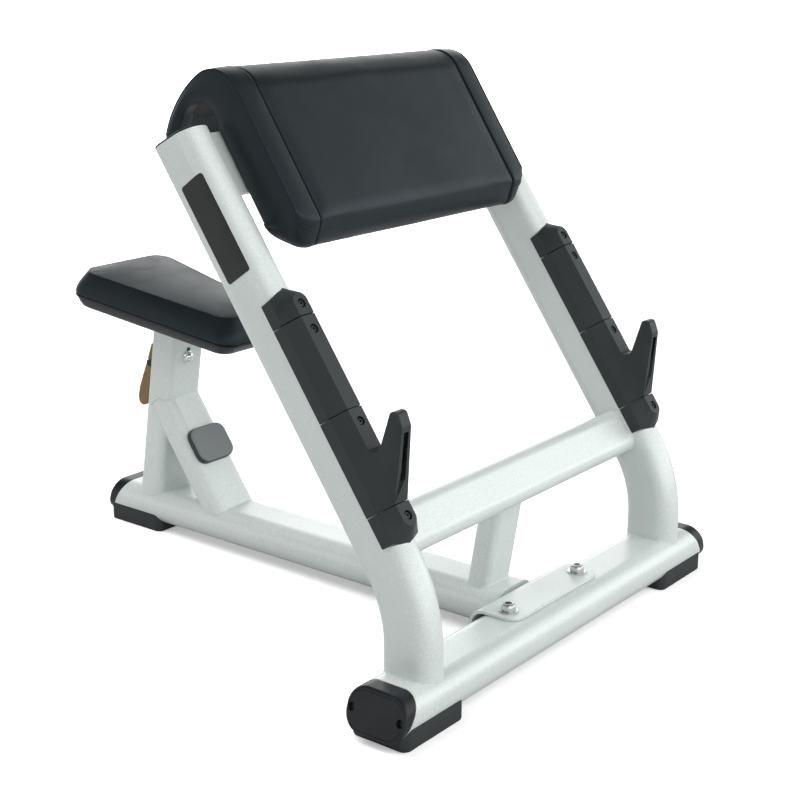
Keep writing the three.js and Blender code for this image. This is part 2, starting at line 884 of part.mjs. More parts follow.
// The end of a guard where it meets the next one
function squareEnd(height) {
  return sides.flatMap(({ side }) => [
    new THREE.Vector3(side * guardStripHalfWidth, -guardFront, height),
    new THREE.Vector3(side * guardSide, -guardSideFront, height),
    new THREE.Vector3(side * guardSide, -guardWrap, height),
  ]);
}

// The end of a guard that stands alone: the strip ends in a half circle, from which facets fall
// to the sides and to a point on the tube
function pointedEnd(height, direction, stripDrop, sideDrop) {
  const centre = height - direction * (stripDrop + guardStripHalfWidth);
  const strip = arc(0, 0, guardStripHalfWidth, 0, halfTurn, bendFaces).map((p) => (
    new THREE.Vector3(p.x, -guardFront, centre + direction * p.y)));
  const side = height - direction * sideDrop;
  const walls = sides.flatMap((entry) => [
    new THREE.Vector3(entry.side * guardSide, -guardSideFront, side),
    new THREE.Vector3(entry.side * guardSide, -guardWrap, side),
  ]);
  return [...strip, ...walls, new THREE.Vector3(0, guardBaseSink - uprightDepth / 2, height)];
}

function withScrewHole(guard, height, front) {
  const seat = -front + guardScrewRecessDepth;
  return guard
    .subtract(rodBack(guardScrewRecess / 2, -front - cutOverrun, seat, 0, height))
    .subtract(rodBack(guardScrewShank / 2 + runningGap, -front, 0, 0, height));
}

function orderedAnticlockwise(points) {
  return THREE.ShapeUtils.isClockWise(points) ? points.slice().reverse() : points;
}

function topGuard() {
  const body = guardBody(
    squareEnd(guardSeamHigh + guardSeam / 2),
    pointedEnd(guardTop, 1, topStripDrop, topSideDrop),
  );
  return withScrewHole(body, guardScrewHeights.top, guardFront);
}

function middleGuard() {
  const body = guardBody(squareEnd(guardSeamMid + guardSeam / 2), squareEnd(guardSeamHigh - guardSeam / 2));
  return withScrewHole(body, guardScrewHeights.middle, guardFront);
}

function lowGuard() {
  const body = guardBody(
    pointedEnd(guardBottom, -1, lowStripRise, lowSideRise),
    squareEnd(guardSeamLow - guardSeam / 2),
  );
  return withScrewHole(body, guardScrewHeights.low, guardFront);
}

// The hook's fin, drawn from the side, with a slot in its front edge
function barHook() {
  const start = guardSeamLow + guardSeam / 2;
  const blank = guardBody(squareEnd(start), squareEnd(guardSeamMid - guardSeam / 2));
  const root = (hookRoot + uprightDepth / 2) / 2;
  const side = filleted([
    [-root, start, 0],
    [-root, hookCrotch + hookCrotchRadius * 2, 0],
    [-hookRoot, hookCrotch + hookCrotchRadius * 2 + (guardFront - hookRoot), 0],
    [-hookRoot, hookCrotch, hookCrotchRadius],
    [-hookTipBack, hookTipTop, hookTipRadius],
    [-hookTipFront, hookTipFrontHeight, hookTipRadius],
    [-hookNose, hookNoseHeight, hookNoseRadius],
    [-hookRoot, start, 0],
  ]);
  let fin = across(orderedAnticlockwise(side), -guardStripHalfWidth, guardStripHalfWidth);
  sides.forEach((entry) => {
    const taper = orderedAnticlockwise([
      point(entry.side * guardStripHalfWidth, -guardFront),
      point(entry.side * (guardStripHalfWidth + cutOverrun), -guardFront),
      point(entry.side * (guardStripHalfWidth + cutOverrun), -hookTipFront - cutOverrun),
      point(entry.side * hookTipHalfWidth, -hookTipFront - cutOverrun),
    ]);
    fin = fin.subtract(prism(taper, start - cutOverrun, hookTipTop + cutOverrun));
  });
  const edge = point(-hookNose + hookRoot, hookNoseHeight - start).normalize();
  const inwards = point(-edge.y, edge.x).multiplyScalar(-1);
  const edgeStart = point(-hookRoot, start);
  const slotCorner = (up, deep) => (
    edge.clone().multiplyScalar(up).add(inwards.clone().multiplyScalar(deep)).add(edgeStart));
  const slot = orderedAnticlockwise([
    slotCorner(hookSlotLow, -cutOverrun),
    slotCorner(hookSlotHigh, -cutOverrun),
    slotCorner(hookSlotHigh, hookSlotDepth),
    slotCorner(hookSlotLow, hookSlotDepth),
  ]);
  const body = blank.add(fin).subtract(across(slot, -hookSlotWidth / 2, hookSlotWidth / 2));
  return withScrewHole(body, guardScrewHeights.hook, guardFront);
}

// A socket screw that sits in a guard's recess, its head's underside at height zero
function guardScrew() {
  const shank = guardScrewShank / 2;
  const head = guardScrewHead / 2;
  const length = guardFront - guardScrewRecessDepth - uprightDepth / 2 + guardScrewBite;
  const body = turned([
    [0, -length],
    [shank, -length],
    [shank, 0],
    [head, 0],
    [head, guardScrewHeadHeight / 2],
    [head * guardScrewCrownShare, guardScrewHeadHeight],
    [0, guardScrewHeadHeight],
  ], holeFaces);
  const socket = guardScrewHeadHeight - guardScrewSocketDepth;
  return body.subtract(rod(guardScrewSocket / 2, socket, guardScrewHeadHeight + cutOverrun, hexFaces));
}

function buildUprights() {
  sides.forEach(({ name, side }) => {
    const group = groupAt(bench, uprightFrame(side));
    addPart(group, `${name}_upright`, upright(side), silverPaint);
    const lean = groupAt(group, leanFrame);
    addPart(groupAt(lean, shift(0, 0, uprightLength)), `${name}_upright_cap`, topCap(), blackPlastic);
    addPart(lean, `${name}_top_guard`, topGuard(), guardPlastic);
    addPart(lean, `${name}_middle_guard`, middleGuard(), guardPlastic);
    addPart(lean, `${name}_bar_hook`, barHook(), guardPlastic);
    addPart(lean, `${name}_low_guard`, lowGuard(), guardPlastic);
    Object.entries(guardScrewHeights).forEach(([place, height]) => {
      const seat = -guardFront + guardScrewRecessDepth - weldGap;
      const frame = shift(0, seat, height).multiply(new THREE.Matrix4().makeRotationX(quarterTurn));
      addPart(groupAt(lean, frame), `${name}_${place}_guard_screw`, guardScrew(), blackSteel);
    });
  });
}

// Cross-member and strut

function crossBody(grow, halfLength) {
  const section = roundedBox(crossDepth + grow * 2, crossHeight + grow * 2, crossCorner + grow);
  return moved(across(section, -halfLength, halfLength), shift(0, crossBack, crossUp));
}

function buildCrossMember() {
  const reach = uprightAcross - uprightWidth / 4;
  let solid = hollow(crossBody(0, reach), crossBody(-crossWall, reach + cutOverrun));
  sides.forEach(({ side }) => {
    const cutter = moved(uprightGrown, uprightFrame(side));
    solid = solid.subtract(inFrame(cutter, rackFrame));
  });
  addPart(groupAt(bench, rackFrame), 'cross_member', solid, silverPaint);
}

function buildStrut() {
  const outline = roundedBox(strutWidth, strutDepth, strutCorner);
  const crossCentre = new THREE.Vector3(0, crossBack, crossUp).applyMatrix4(rackFrame);
  const strutLength = (crossCentre.z - supportBase) / Math.cos(radians(strutLean)) + strutReach;
  const tube = prism(outline, -tubeHeight / 4, strutLength);
  const core = prism(offset(outline, -strutWall), -tubeHeight / 4 - cutOverrun, strutLength + cutOverrun);
  const cross = moved(crossBody(weldGap, uprightAcross), rackFrame);
  const solid = tube
    .subtract(inFrame(cross, strutFrame))
    .subtract(inFrame(spineCutter, strutFrame))
    .subtract(core);
  addPart(groupAt(bench, strutFrame), 'centre_strut', solid, silverPaint);
}

// Arm pad

const padArchStart = halfTurn + Math.acos((padArchBack - padThickness) / padArchRadius);
const padRollCentre = padFaceHeight + padShoulder - padRollRadius;
const padArchEnd = radians(padArchSweep);
const lipRadius = padRollRadius - padLipThickness;

// The pad's outline from the side; its first and last stretches are the padded face
function padOutline() {
  const lipEnd = quarterTurn - radians(padRollSweep);
  const lipStartPoint = point(
    padArchBack + padArchRadius * Math.cos(padArchEnd),
    padArchUp + padArchRadius * Math.sin(padArchEnd),
  );
  const lipStart = Math.atan2(lipStartPoint.y - padRollCentre, lipStartPoint.x - padShoulder);
  const lowEnd = filleted([
    [0, padFaceHeight, 0],
    [0, 0, padCreaseRadius],
    [padNoseBack, -padNoseDrop, padNoseRadius],
    [padThickness, padHeelRise, padHeelRadius],
    [padThickness, padFaceHeight, 0],
  ], edgeFaces).slice(1, -1);
  const faceSteps = padFaceShares.map((share) => point(0, padFaceHeight * share));
  return withoutRepeats([
    ...faceSteps,
    ...lowEnd,
    ...arc(padArchBack, padArchUp, padArchRadius, padArchStart, padArchEnd, padFaces),
    ...arc(padShoulder, padRollCentre, lipRadius, lipStart, lipEnd, edgeFaces).slice(1),
    ...arc(padShoulder, padRollCentre, padRollRadius, lipEnd, quarterTurn, padFaces / 2),
    ...arc(padShoulder, padFaceHeight, padShoulder, quarterTurn, halfTurn, padFaces).slice(1),
  ]);
}

// How much of the crown a point of the outline takes: none behind the pad or in its arch
function crownShare(p) {
  const onFace = p.x < padThickness * padCrownDepthShare && p.y > -padNoseDrop / 2;
  const overTop = Math.hypot(p.x - padShoulder, p.y - padRollCentre) > padRollRadius - padLipThickness / 2;
  if (!onFace && !overTop) return 0;
  return THREE.MathUtils.clamp(p.y / (padFaceHeight * padCrownRiseShare), 0, 1);
}

// A height on the pad's outline, raised near the pad's ends to round its bottom corners
function padRaised(x, height) {
  const beyond = Math.abs(x) - (padHalfWidth - padBottomCorner);
  if (beyond <= 0 || height >= padCornerReach) return height;
  const rise = padBottomCorner - Math.sqrt(Math.max(padBottomCorner ** 2 - beyond ** 2, 0));
  return height + (rise * (padCornerReach - height)) / (padCornerReach + padNoseDrop);
}

function padStation(x, grow, crown) {
  const outline = offset(padOutline(), grow);
  const base = padOutline();
  const crowned = offset(base, 1);
  const shaped = outline.map((p, i) => {
    const rise = crowned[i].clone().sub(base[i]).multiplyScalar(crown * crownShare(base[i]));
    const crownedPoint = p.clone().add(rise);
    return point(crownedPoint.x, padRaised(x, crownedPoint.y));
  });
  return { outline: shaped, place: shift(x, 0, 0).multiply(acrossFrame) };
}

function padCushion() {
  const crownAt = (x) => padCrown * (1 - (x / padSeamAcross) ** 2);
  const half = [
    [padHalfWidth, -padEndRound, 0],
    [padHalfWidth - padEndRound * padEndRoundShare, -padEndRound * padEndRoundShare, 0],
    [padHalfWidth - padEndRound, 0, 0],
    ...padEndPlaceShares.map((share) => [padHalfWidth - padEndPanel * share, 0, padCrown * padEndCrownShare]),
    [padSeamAcross + padSeamHalfWidth, 0, 0],
    [padSeamAcross, -padSeamDepth, 0],
    [padSeamAcross - padSeamHalfWidth, 0, 0],
    ...padCrownPlaceShares.map((share) => [padSeamAcross * share, 0, crownAt(padSeamAcross * share)]),
  ];
  const stations = [
    ...half.map(([x, grow, crown]) => padStation(-x, grow, crown)),
    padStation(0, 0, padCrown),
    ...half.slice().reverse().map(([x, grow, crown]) => padStation(x, grow, crown)),
  ];
  return loft(stations).subtract(padBoardBody(weldGap, cutOverrun));
}

// The bent board in the pad's back. Its pocket in the cushion is the same shape, grown all round
// and opened through the back
function padBoardBody(grow, opened) {
  const end = radians(boardArchSweep);
  const front = padThickness - boardThickness - grow;
  const outer = padArchRadius + boardThickness + grow;
  const inner = padArchRadius - opened;
  const startOuter = halfTurn + Math.acos((padArchBack - front) / outer);
  const startInner = halfTurn + Math.acos(Math.min((padArchBack - padThickness - opened) / inner, 1));
  const outline = withoutRepeats([
    point(front, boardBottom - grow),
    point(padThickness + opened, boardBottom - grow),
    ...arc(padArchBack, padArchUp, inner, startInner, end - grow / inner, padFaces),
    ...arc(padArchBack, padArchUp, outer, end - grow / outer, startOuter, padFaces),
  ]);
  return across(orderedAnticlockwise(outline), -boardHalfWidth - grow, boardHalfWidth + grow);
}

function padBoard() {
  let board = padBoardBody(0, 0);
  padBoltPlaces().forEach(({ x, z }) => {
    board = board.subtract(rodBack(padBoltWidth / 2 + runningGap, 0, padThickness + cutOverrun, x, z));
  });
  return board;
}

function padBoltPlaces() {
  return sides.flatMap(({ name, side }) => [
    { name: `${name}_low_pad_bolt`, x: side * padBoltAcross, z: padBoltLow },
    { name: `${name}_high_pad_bolt`, x: side * padBoltAcross, z: padBoltHigh },
  ]);
}

function padPlate(side) {
  const front = padThickness + weldGap;
  const back = front + padPlateThickness;
  const profile = [
    point(front, padPlateBottom),
    point(back + padPlateStepThickness, padPlateBottom),
    point(back + padPlateStepThickness, padPlateStep),
    point(back, padPlateStep + padPlateStepThickness),
    point(back, padPlateTop),
    point(front, padPlateTop),
  ];
  let plate = across(profile, padPlateInner, uprightAcross);
  plate = mirroredAcross(plate, side);
  padBoltPlaces().forEach(({ x, z }) => {
    plate = plate.subtract(rodBack(padBoltWidth / 2 + runningGap, 0, padThickness * 2, x, z));
  });
  return plate.subtract(inFrame(moved(uprightGrown, uprightFrame(side)), padFrame));
}

function padBolt(lowOnStep) {
  const seat = lowOnStep ? padPlateStepThickness : 0;
  const shank = padBoltWidth / 2;
  const head = padBoltHead / 2;
  const tip = -padPlateThickness - seat - padBoltBite - weldGap * 2;
  return turned([
    [0, tip],
    [shank, tip],
    [shank, 0],
    [head, 0],
    [head, padBoltHeadHeight],
    [0, padBoltHeadHeight],
  ], hexFaces * 2);
}

function buildArmPad() {
  const group = groupAt(bench, padFrame);
  addPart(group, 'arm_pad_board', padBoard(), bareBoard);
  addPart(group, 'arm_pad_cushion', padCushion(), padVinyl);
  sides.forEach(({ name, side }) => addPart(group, `${name}_pad_bracket`, padPlate(side), silverPaint));
  padBoltPlaces().forEach(({ name, x, z }) => {
    const low = z < padPlateStep;
    const plateBack = padThickness + weldGap * 2 + padPlateThickness + (low ? padPlateStepThickness : 0);
    const frame = shift(x, plateBack, z).multiply(backFrame);
    addPart(groupAt(group, frame), name, padBolt(low), zincSteel);
  });
}

// Seat post, brace and lock, in the post's leaning frame: x across, y back, z up the post
const postOutline = roundedBox(postWidth, postDepth, postCorner);
const postFront = -postDepth / 2;
const postBack = postDepth / 2;
const sleeveOutline = offset(postOutline, -postWall - runningGap);
const innerOutline = offset(sleeveOutline, -sleeveWall - runningGap);
const innerBack = postBack - postWall - sleeveWall - runningGap * 2;
const postTop = postLength;
const plateBottom = seatBottom - weldGap - seatPlateThickness;

function lockHole() {
  return rodBack(lockPinWidth / 2 + runningGap, 0, postBack + cutOverrun, 0, lockPinHeight);
}

function guideHole() {
  return rodBack(guideBoltShank / 2 + runningGap, postFront - cutOverrun, 0, 0, guideBoltHeight);
}

function buildSeatPost(group) {
  const start = -tubeHeight / 4;
  const tube = prism(postOutline, start, postTop);
  const core = prism(offset(postOutline, -postWall), start - cutOverrun, postTop + cutOverrun);
  const solid = tube
    .subtract(inFrame(spineCutter, postFrame))
    .subtract(core)
    .subtract(lockHole())
    .subtract(guideHole());
  addPart(group, 'seat_post', solid, silverPaint);
  const lipOutline = offset(postOutline, sleeveLipReach / 2);
  const sleeve = prism(sleeveOutline, postTop - sleeveLength, postTop + weldGap + sleeveLip)
    .add(prism(lipOutline, postTop + weldGap, postTop + weldGap + sleeveLip))
    .subtract(prism(offset(sleeveOutline, -sleeveWall), 0, postTop * 2))
    .subtract(lockHole())
    .subtract(guideHole());
  addPart(group, 'post_sleeve', sleeve, blackPlastic);
}

function buildBrace() {
  const outline = roundedBox(braceWidth, braceDepth, braceCorner);
  const start = -tubeHeight / 4;
  const spread = Math.sin(radians(braceLean)) + Math.cos(radians(braceLean)) * Math.tan(radians(postLean));
  const braceLength = braceSpread / spread;
  const post = moved(prism(offset(postOutline, weldGap), start, postTop), postFrame);
  const solid = prism(outline, start, braceLength)
    .subtract(inFrame(post, braceFrame))
    .subtract(inFrame(spineCutter, braceFrame))
    .subtract(prism(offset(outline, -braceWall), start - cutOverrun, braceLength + cutOverrun));
  const group = groupAt(bench, braceFrame);
  addPart(group, 'seat_brace', solid, silverPaint);
  const badgeOutline = roundedBox(badgeWidth, badgeHeight, badgeCorner);
  const badge = loft([
    { outline: badgeOutline, place: shift(0, 0, 0) },
    { outline: badgeOutline, place: shift(0, 0, badgeThickness - badgeBevel) },
    { outline: offset(badgeOutline, -badgeBevel), place: shift(0, 0, badgeThickness) },
  ]);
  const badgeFrame = shift(0, -braceDepth / 2 - weldGap, badgeUp)
    .multiply(new THREE.Matrix4().makeRotationX(quarterTurn));
  addPart(groupAt(group, badgeFrame), 'brace_badge', badge, badgeGrey);
}

function buildGuideBolt(group) {
  const head = guideBoltHead / 2;
  const shank = guideBoltShank / 2;
  const length = postWall + runningGap * 2 + sleeveWall + guideBoltEnd;
  const bolt = turned([
    [0, -length],
    [shank, -length],
    [shank, 0],
    [head, 0],
    [head, guideBoltFlange],
    ...guideBoltDomeShares.map(([across, rise]) => [
      head * across,
      guideBoltFlange + (guideBoltHeadHeight - guideBoltFlange) * rise,
    ]),
    [0, guideBoltHeadHeight],
  ]);
  const frame = shift(0, postFront - weldGap, guideBoltHeight)
    .multiply(new THREE.Matrix4().makeRotationX(quarterTurn));
  addPart(groupAt(group, frame), 'guide_bolt', bolt, chromeSteel);
}

// The post that slides in the seat post, with a row of holes behind and a slot in front
function buildInnerPost(group) {
  let post = prism(innerOutline, innerPostBottom, plateBottom - weldGap)
    .subtract(prism(offset(innerOutline, -innerPostWall), 0, postTop * 2));
  for (let drop = 0; drop <= seatTravel; drop += holePitch) {
    post = post.subtract(
      rodBack(lockPinWidth / 2 + runningGap, 0, postBack, 0, lockPinHeight - drop, holeFaces),
    );
  }
  const slotRadius = guideBoltShank / 2 + runningGap;
  const slot = prism(
    roundedBox(slotRadius * 2, seatTravel + slotRadius * 2 + runningGap * 2, slotRadius),
    0,
    postDepth,
  );
  const slotFrame = shift(0, 0, guideBoltHeight - seatTravel / 2)
    .multiply(new THREE.Matrix4().makeRotationX(quarterTurn));
  addPart(group, 'inner_seat_post', post.subtract(moved(slot, slotFrame)), chromeSteel);
}

// Seat lock pieces
const barrelFront = postBack + weldGap;
const barrelBack = barrelFront + barrelLength;
const clawFront = barrelBack + clawClearance;
const clawBack = clawFront + clawThickness;
const clawTop = lockPinHeight + clawRise;
const clawBottom = lockPinHeight - clawDrop;
const pivotBack = postBack + pivotReach;
const headFront = clawBack + runningGap;
const headBack = headFront + lockPinHeadLength;

function buildLock(group) {
  const barrel = hollow(
    rodBack(barrelWidth / 2, barrelFront, barrelBack, 0, lockPinHeight, roundFaces),
    rodBack(lockPinWidth / 2 + runningGap, 0, barrelBack - barrelWall, 0, lockPinHeight),
  ).subtract(rodBack(lockPinStem / 2 + runningGap, 0, barrelBack + cutOverrun, 0, lockPinHeight));
  addPart(group, 'lock_pin_barrel', barrel, silverPaint);

  const tip = innerBack + runningGap;
  const travel = radians(leverSwing) * (clawTop - pivotHeight + clawRoll);
  const shoulder = barrelBack - barrelWall - travel - runningGap;
  const pin = turnedBack([
    [0, tip],
    [lockPinWidth / 2 - lockPinChamfer, tip],
    [lockPinWidth / 2, tip + lockPinChamfer],
    [lockPinWidth / 2, shoulder],
    [lockPinStem / 2, shoulder],
    [lockPinStem / 2, headFront],
    [lockPinHead / 2, headFront],
    [lockPinHead / 2, headBack],
    [0, headBack],
  ], 0, lockPinHeight, holeFaces);
  addPart(group, 'locking_pin', pin, chromeSteel);

  addPart(group, 'lever_bracket', leverBracket(), blackPlastic);
  const pivot = moved(rod(pivotPinWidth / 2, -pivotPinHalfLength, pivotPinHalfLength, holeFaces),
    shift(0, pivotBack, pivotHeight).multiply(new THREE.Matrix4().makeRotationY(quarterTurn)));
  addPart(group, 'lever_pivot_pin', pivot, blackPlastic);
  addPart(group, 'release_lever', releaseLever(), bronzeLever);
  addPart(group, 'lever_spring', leverSpring(), springSteel);
}

function pivotHole(radius) {
  return moved(rod(radius, -pivotPinHalfLength * 2, pivotPinHalfLength * 2, holeFaces),
    shift(0, pivotBack, pivotHeight).multiply(new THREE.Matrix4().makeRotationY(quarterTurn)));
}

// Two ears on a plate behind the post, which carry the lever's pivot pin
function leverBracket() {
  const front = postBack + weldGap;
  const inner = leverHalfWidth + runningGap;
  const low = pivotHeight - earBaseHeight / 2;
  const high = pivotHeight + earBaseHeight / 2;
  const cheek = withoutRepeats([
    point(front, low),
    ...arc(pivotBack, pivotHeight, earRadius, -quarterTurn, quarterTurn, bendFaces),
    point(front, high),
  ]);
  const ears = sides.map(({ side }) => mirroredAcross(across(cheek, inner, inner + earThickness), side));
  const plate = [
    point(front, low),
    point(front + earThickness, low),
    point(front + earThickness, high),
    point(front, high),
  ];
  const base = across(plate, -inner - earThickness, inner + earThickness);
  return base.add(ears[0]).add(ears[1]).subtract(pivotHole(pivotPinWidth / 2 + runningGap));
}

// The lever from the side: claws at the top, cheeks round the pivot, grip below
function leverOutline() {
  const down = (drop) => pivotHeight - drop;
  const back = (reach) => pivotBack + reach;
  const top = lockPinHeight + leverHeadRise;
  return filleted([
    [clawFront, down(earRadius), leverEdgeRadius],
    [back(-leverCheekFront), down(leverCheekDrop), 0],
    [back(-gripMidFront), down(gripMidDrop), 0],
    [back(-gripLowFront), down(gripLowDrop), leverEdgeRadius],
    [pivotBack, down(gripToeDrop), gripToeRadius],
    [back(gripToeBack), down(gripEndDrop), gripToeRadius],
    [back(gripHeelBack), down(gripHeelDrop), gripHeelRadius],
    [back(gripTailBack), down(gripTailDrop), gripHeelRadius],
    [back(gripLowBack), down(gripLowDrop), gripBackRadius],
    [back(gripMidBack), down(gripMidDrop), gripBackRadius],
    [back(leverBack), pivotHeight, gripHeelRadius],
    [pivotBack, top - leverHeadChamfer, leverEdgeRadius],
    [back(-leverHeadChamfer), top, leverHeadChamfer],
    [clawFront, top, leverHeadChamfer],
  ], edgeFaces);
}

function releaseLever() {
  const body = across(orderedAnticlockwise(leverOutline()), -leverHalfWidth, leverHalfWidth);
  const inside = leverHalfWidth - leverWall;
  const top = lockPinHeight + leverHeadRise + cutOverrun;
  const front = clawFront - cutOverrun;
  const rear = pivotBack + leverBack - leverBackWall;
  const channel = [
    point(front, pivotHeight - leverChannelDrop),
    point(rear, pivotHeight - leverChannelDrop),
    point(rear, pivotHeight),
    point(rear - leverBack - leverHeadChamfer / 2, top),
    point(front, top),
  ];
  const notchFront = rear - leverHeadChamfer / 2;
  const notchBack = rear + leverBackWall + leverNotchDepth;
  const notch = [
    point(notchFront, pivotHeight - leverNotchHeight / 2),
    point(notchBack, pivotHeight - leverNotchHeight / 2),
    point(notchBack, pivotHeight + leverNotchHeight / 2),
    point(notchFront, pivotHeight + leverNotchHeight / 2),
  ];
  const claw = [
    point(clawFront, clawBottom),
    point(clawBack, clawBottom),
    point(clawBack, clawTop),
    point(clawFront, clawTop),
  ];
  const claws = sides.map(({ side }) =>
    mirroredAcross(across(claw, lockPinStem / 2 + runningGap * 2, inside + weldGap), side));
  return body
    .subtract(across(channel, -inside, inside))
    .subtract(across(notch, -leverHalfWidth - cutOverrun, leverHalfWidth + cutOverrun))
    .add(claws[0])
    .add(claws[1])
    .subtract(pivotHole(pivotPinWidth / 2 + runningGap));
}

// The lever's return spring: one wire, coiled round the pivot pin between two straight legs
function springRoute() {
  const route = [];
  const steps = springTurns * springStepsPerTurn;
  const startX = (-springTurns * springPitch) / 2;
  const ringPoint = (i) => {
    const angle = quarterTurn + (fullTurn * i) / springStepsPerTurn;
    return new THREE.Vector3(
      startX + (springPitch * i) / springStepsPerTurn,
      pivotBack + springRadius * Math.cos(angle),
      pivotHeight + springRadius * Math.sin(angle),
    );
  };
  const first = ringPoint(0);
  const last = ringPoint(steps);
  route.push(new THREE.Vector3(first.x, first.y - springLeg, first.z));
  route.push(new THREE.Vector3(first.x, first.y - springLeg / 2, first.z));
  for (let i = 0; i <= steps; i += 1) route.push(ringPoint(i));
  route.push(new THREE.Vector3(last.x, last.y - springLeg / 2, last.z));
  route.push(new THREE.Vector3(last.x, last.y - springLeg, last.z));
  return route;
}

function leastTurnGap(route) {
  let least = Infinity;
  route.forEach((a, i) => {
    route.slice(i + springStepsPerTurn - 2).forEach((b) => {
      least = Math.min(least, a.distanceTo(b) - springWire);
    });
  });
  return least;
}

function leverSpring() {
  const route = springRoute();
  console.log(`least gap between the spring's turns: ${leastTurnGap(route).toFixed(2)} mm`);
  const stations = route.map((place, i) => {
    const before = route[Math.max(i - 1, 0)];
    const after = route[Math.min(i + 1, route.length - 1)];
    const heading = after.clone().sub(before).normalize();
    const sideways = new THREE.Vector3(1, 0, 0).addScaledVector(heading, -heading.x).normalize();
    const upwards = heading.clone().cross(sideways);
    const basis = new THREE.Matrix4().makeBasis(sideways, upwards, heading).setPosition(place);
    const ring = [];
    for (let s = 0; s < springSides; s += 1) {
      const angle = (fullTurn * s) / springSides;
      ring.push(point((springWire / 2) * Math.cos(angle), (springWire / 2) * Math.sin(angle)));
    }
    return { outline: ring, place: basis };
  });
  return loft(stations);
}

// Seat

// The seat from above, grown by its own amount to the rear, the front and the sides
function seatOutline(rear, front, sidewards, corner) {
  return filleted([
    [seatFrontHalfWidth + sidewards, -seatFront - front, corner],
    [seatRearHalfWidth + sidewards, seatRear + rear, corner],
    [-seatRearHalfWidth - sidewards, seatRear + rear, corner],
    [-seatFrontHalfWidth - sidewards, -seatFront - front, corner],
  ]);
}

function seatStation(outShare, height, corner) {
  return {
    outline: seatOutline(seatSideOut * outShare, seatFrontOut * outShare, seatSideOut * outShare, corner),
    place: shift(0, 0, height),
  };
}

function seatPan() {
  let pan = loft(panShares.map(([reach, rise, corner]) => (
    seatStation(reach, seatBottom + seatPanHeight * rise, seatCorner * corner))));
  seatScrewPlaces().forEach((y) => {
    const hole = boltHole(seatScrewWidth, 0, y, 0, seatBottom + seatScrewBite);
    pan = pan.subtract(hole);
  });
  return pan;
}

function seatCushion() {
  const bottom = seatBottom + seatPanHeight + weldGap;
  const wall = seatTop - seatCrease;
  const shrink = (share) => -share * (seatFrontHalfWidth / seatSideOut);
  return loft([
    seatStation(wallFootShare, bottom, seatCorner),
    ...wallShares.map(([reach, rise]) => seatStation(reach, seatCrease + wall * rise, seatCorner)),
    ...topShares.map(([drawn, rise, corner]) => (
      seatStation(shrink(drawn), seatTop + seatCrown * rise, seatCorner * corner))),
  ]);
}

function seatScrewPlaces() {
  return [-seatScrewBack, seatScrewBack];
}

function seatPlate() {
  const outline = roundedBox(seatPlateHalfWidth * 2, seatPlateHalfDepth * 2, seatPlateCorner);
  let plate = prism(outline, plateBottom, plateBottom + seatPlateThickness);
  seatScrewPlaces().forEach((y) => {
    plate = plate.subtract(boltHole(seatScrewWidth, 0, y, 0, postTop * 2));
  });
  return plate;
}

// A pan-head screw, its head's top at height zero
function seatScrew() {
  const tip = weldGap * 2 + seatPlateThickness + seatScrewBite - runningGap * 2;
  return turned([
    [0, -seatScrewHeadHeight],
    [(seatScrewHead / 2) * seatScrewCrownShare, -seatScrewHeadHeight],
    [seatScrewHead / 2, -seatScrewHeadHeight * seatScrewRimShare],
    [seatScrewHead / 2, 0],
    [seatScrewWidth / 2, 0],
    [seatScrewWidth / 2, tip],
    [0, tip],
  ], holeFaces);
}

function buildSeat(group) {
  addPart(group, 'seat_plate', seatPlate(), silverPaint);
  addPart(group, 'seat_pan', seatPan(), blackPlastic);
  addPart(group, 'seat_cushion', seatCushion(), padVinyl);
  const names = ['front_seat_screw', 'rear_seat_screw'];
  seatScrewPlaces().forEach((y, i) => {
    addPart(groupAt(group, shift(0, y, plateBottom - weldGap)), names[i], seatScrew(), zincSteel);
  });
}

buildBase();
buildUprights();
buildCrossMember();
buildStrut();
buildArmPad();
buildBrace();
const support = groupAt(bench, postFrame);
buildSeatPost(support);
buildGuideBolt(support);
buildInnerPost(support);
buildLock(support);
buildSeat(support);

export default bench;
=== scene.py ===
"""A preacher curl bench: painted steel tubes, moulded guards, two vinyl cushions and a seat lock.

Every solid is drawn in millimetres in the bench's own frame: +X to the sitter's right along the
front beam, +Y back to the seat, +Z up, and y = 0 at the middle of the front beam. Solid.finish
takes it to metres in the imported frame. The cushions are filled by a cloth simulation.
"""

import logging
import math
from dataclasses import asdict, dataclass
from enum import Enum
from functools import cache, cached_property
from typing import Any, Iterable, Sequence

import bmesh
import bpy
from mathutils import Matrix, Vector


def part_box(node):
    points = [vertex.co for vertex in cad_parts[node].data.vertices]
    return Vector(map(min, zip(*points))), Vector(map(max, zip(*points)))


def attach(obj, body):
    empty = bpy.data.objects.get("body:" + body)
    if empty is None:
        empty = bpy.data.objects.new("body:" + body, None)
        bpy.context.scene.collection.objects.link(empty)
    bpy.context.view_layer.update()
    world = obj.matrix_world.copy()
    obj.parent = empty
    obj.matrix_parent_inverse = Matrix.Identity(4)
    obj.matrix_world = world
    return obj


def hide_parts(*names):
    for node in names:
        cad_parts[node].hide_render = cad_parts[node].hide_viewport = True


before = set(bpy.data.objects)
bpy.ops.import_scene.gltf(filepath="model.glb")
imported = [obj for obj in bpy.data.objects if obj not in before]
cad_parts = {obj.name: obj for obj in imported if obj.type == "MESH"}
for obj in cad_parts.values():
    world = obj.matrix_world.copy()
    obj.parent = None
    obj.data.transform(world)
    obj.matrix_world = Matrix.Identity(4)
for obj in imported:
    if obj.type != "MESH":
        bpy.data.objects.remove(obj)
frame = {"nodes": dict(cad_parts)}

LOG = logging.getLogger("preacher_bench")
MM = 0.001
GAP = 0.3
CUT_OVERRUN = 4.0
QUARTER = math.pi / 2
FULL_TURN = math.pi * 2
BEVEL_ANGLE = math.radians(28.0)
SHARP_ANGLE = math.radians(35.0)
SHARP_ANGLE_SMALL = math.radians(30.0)
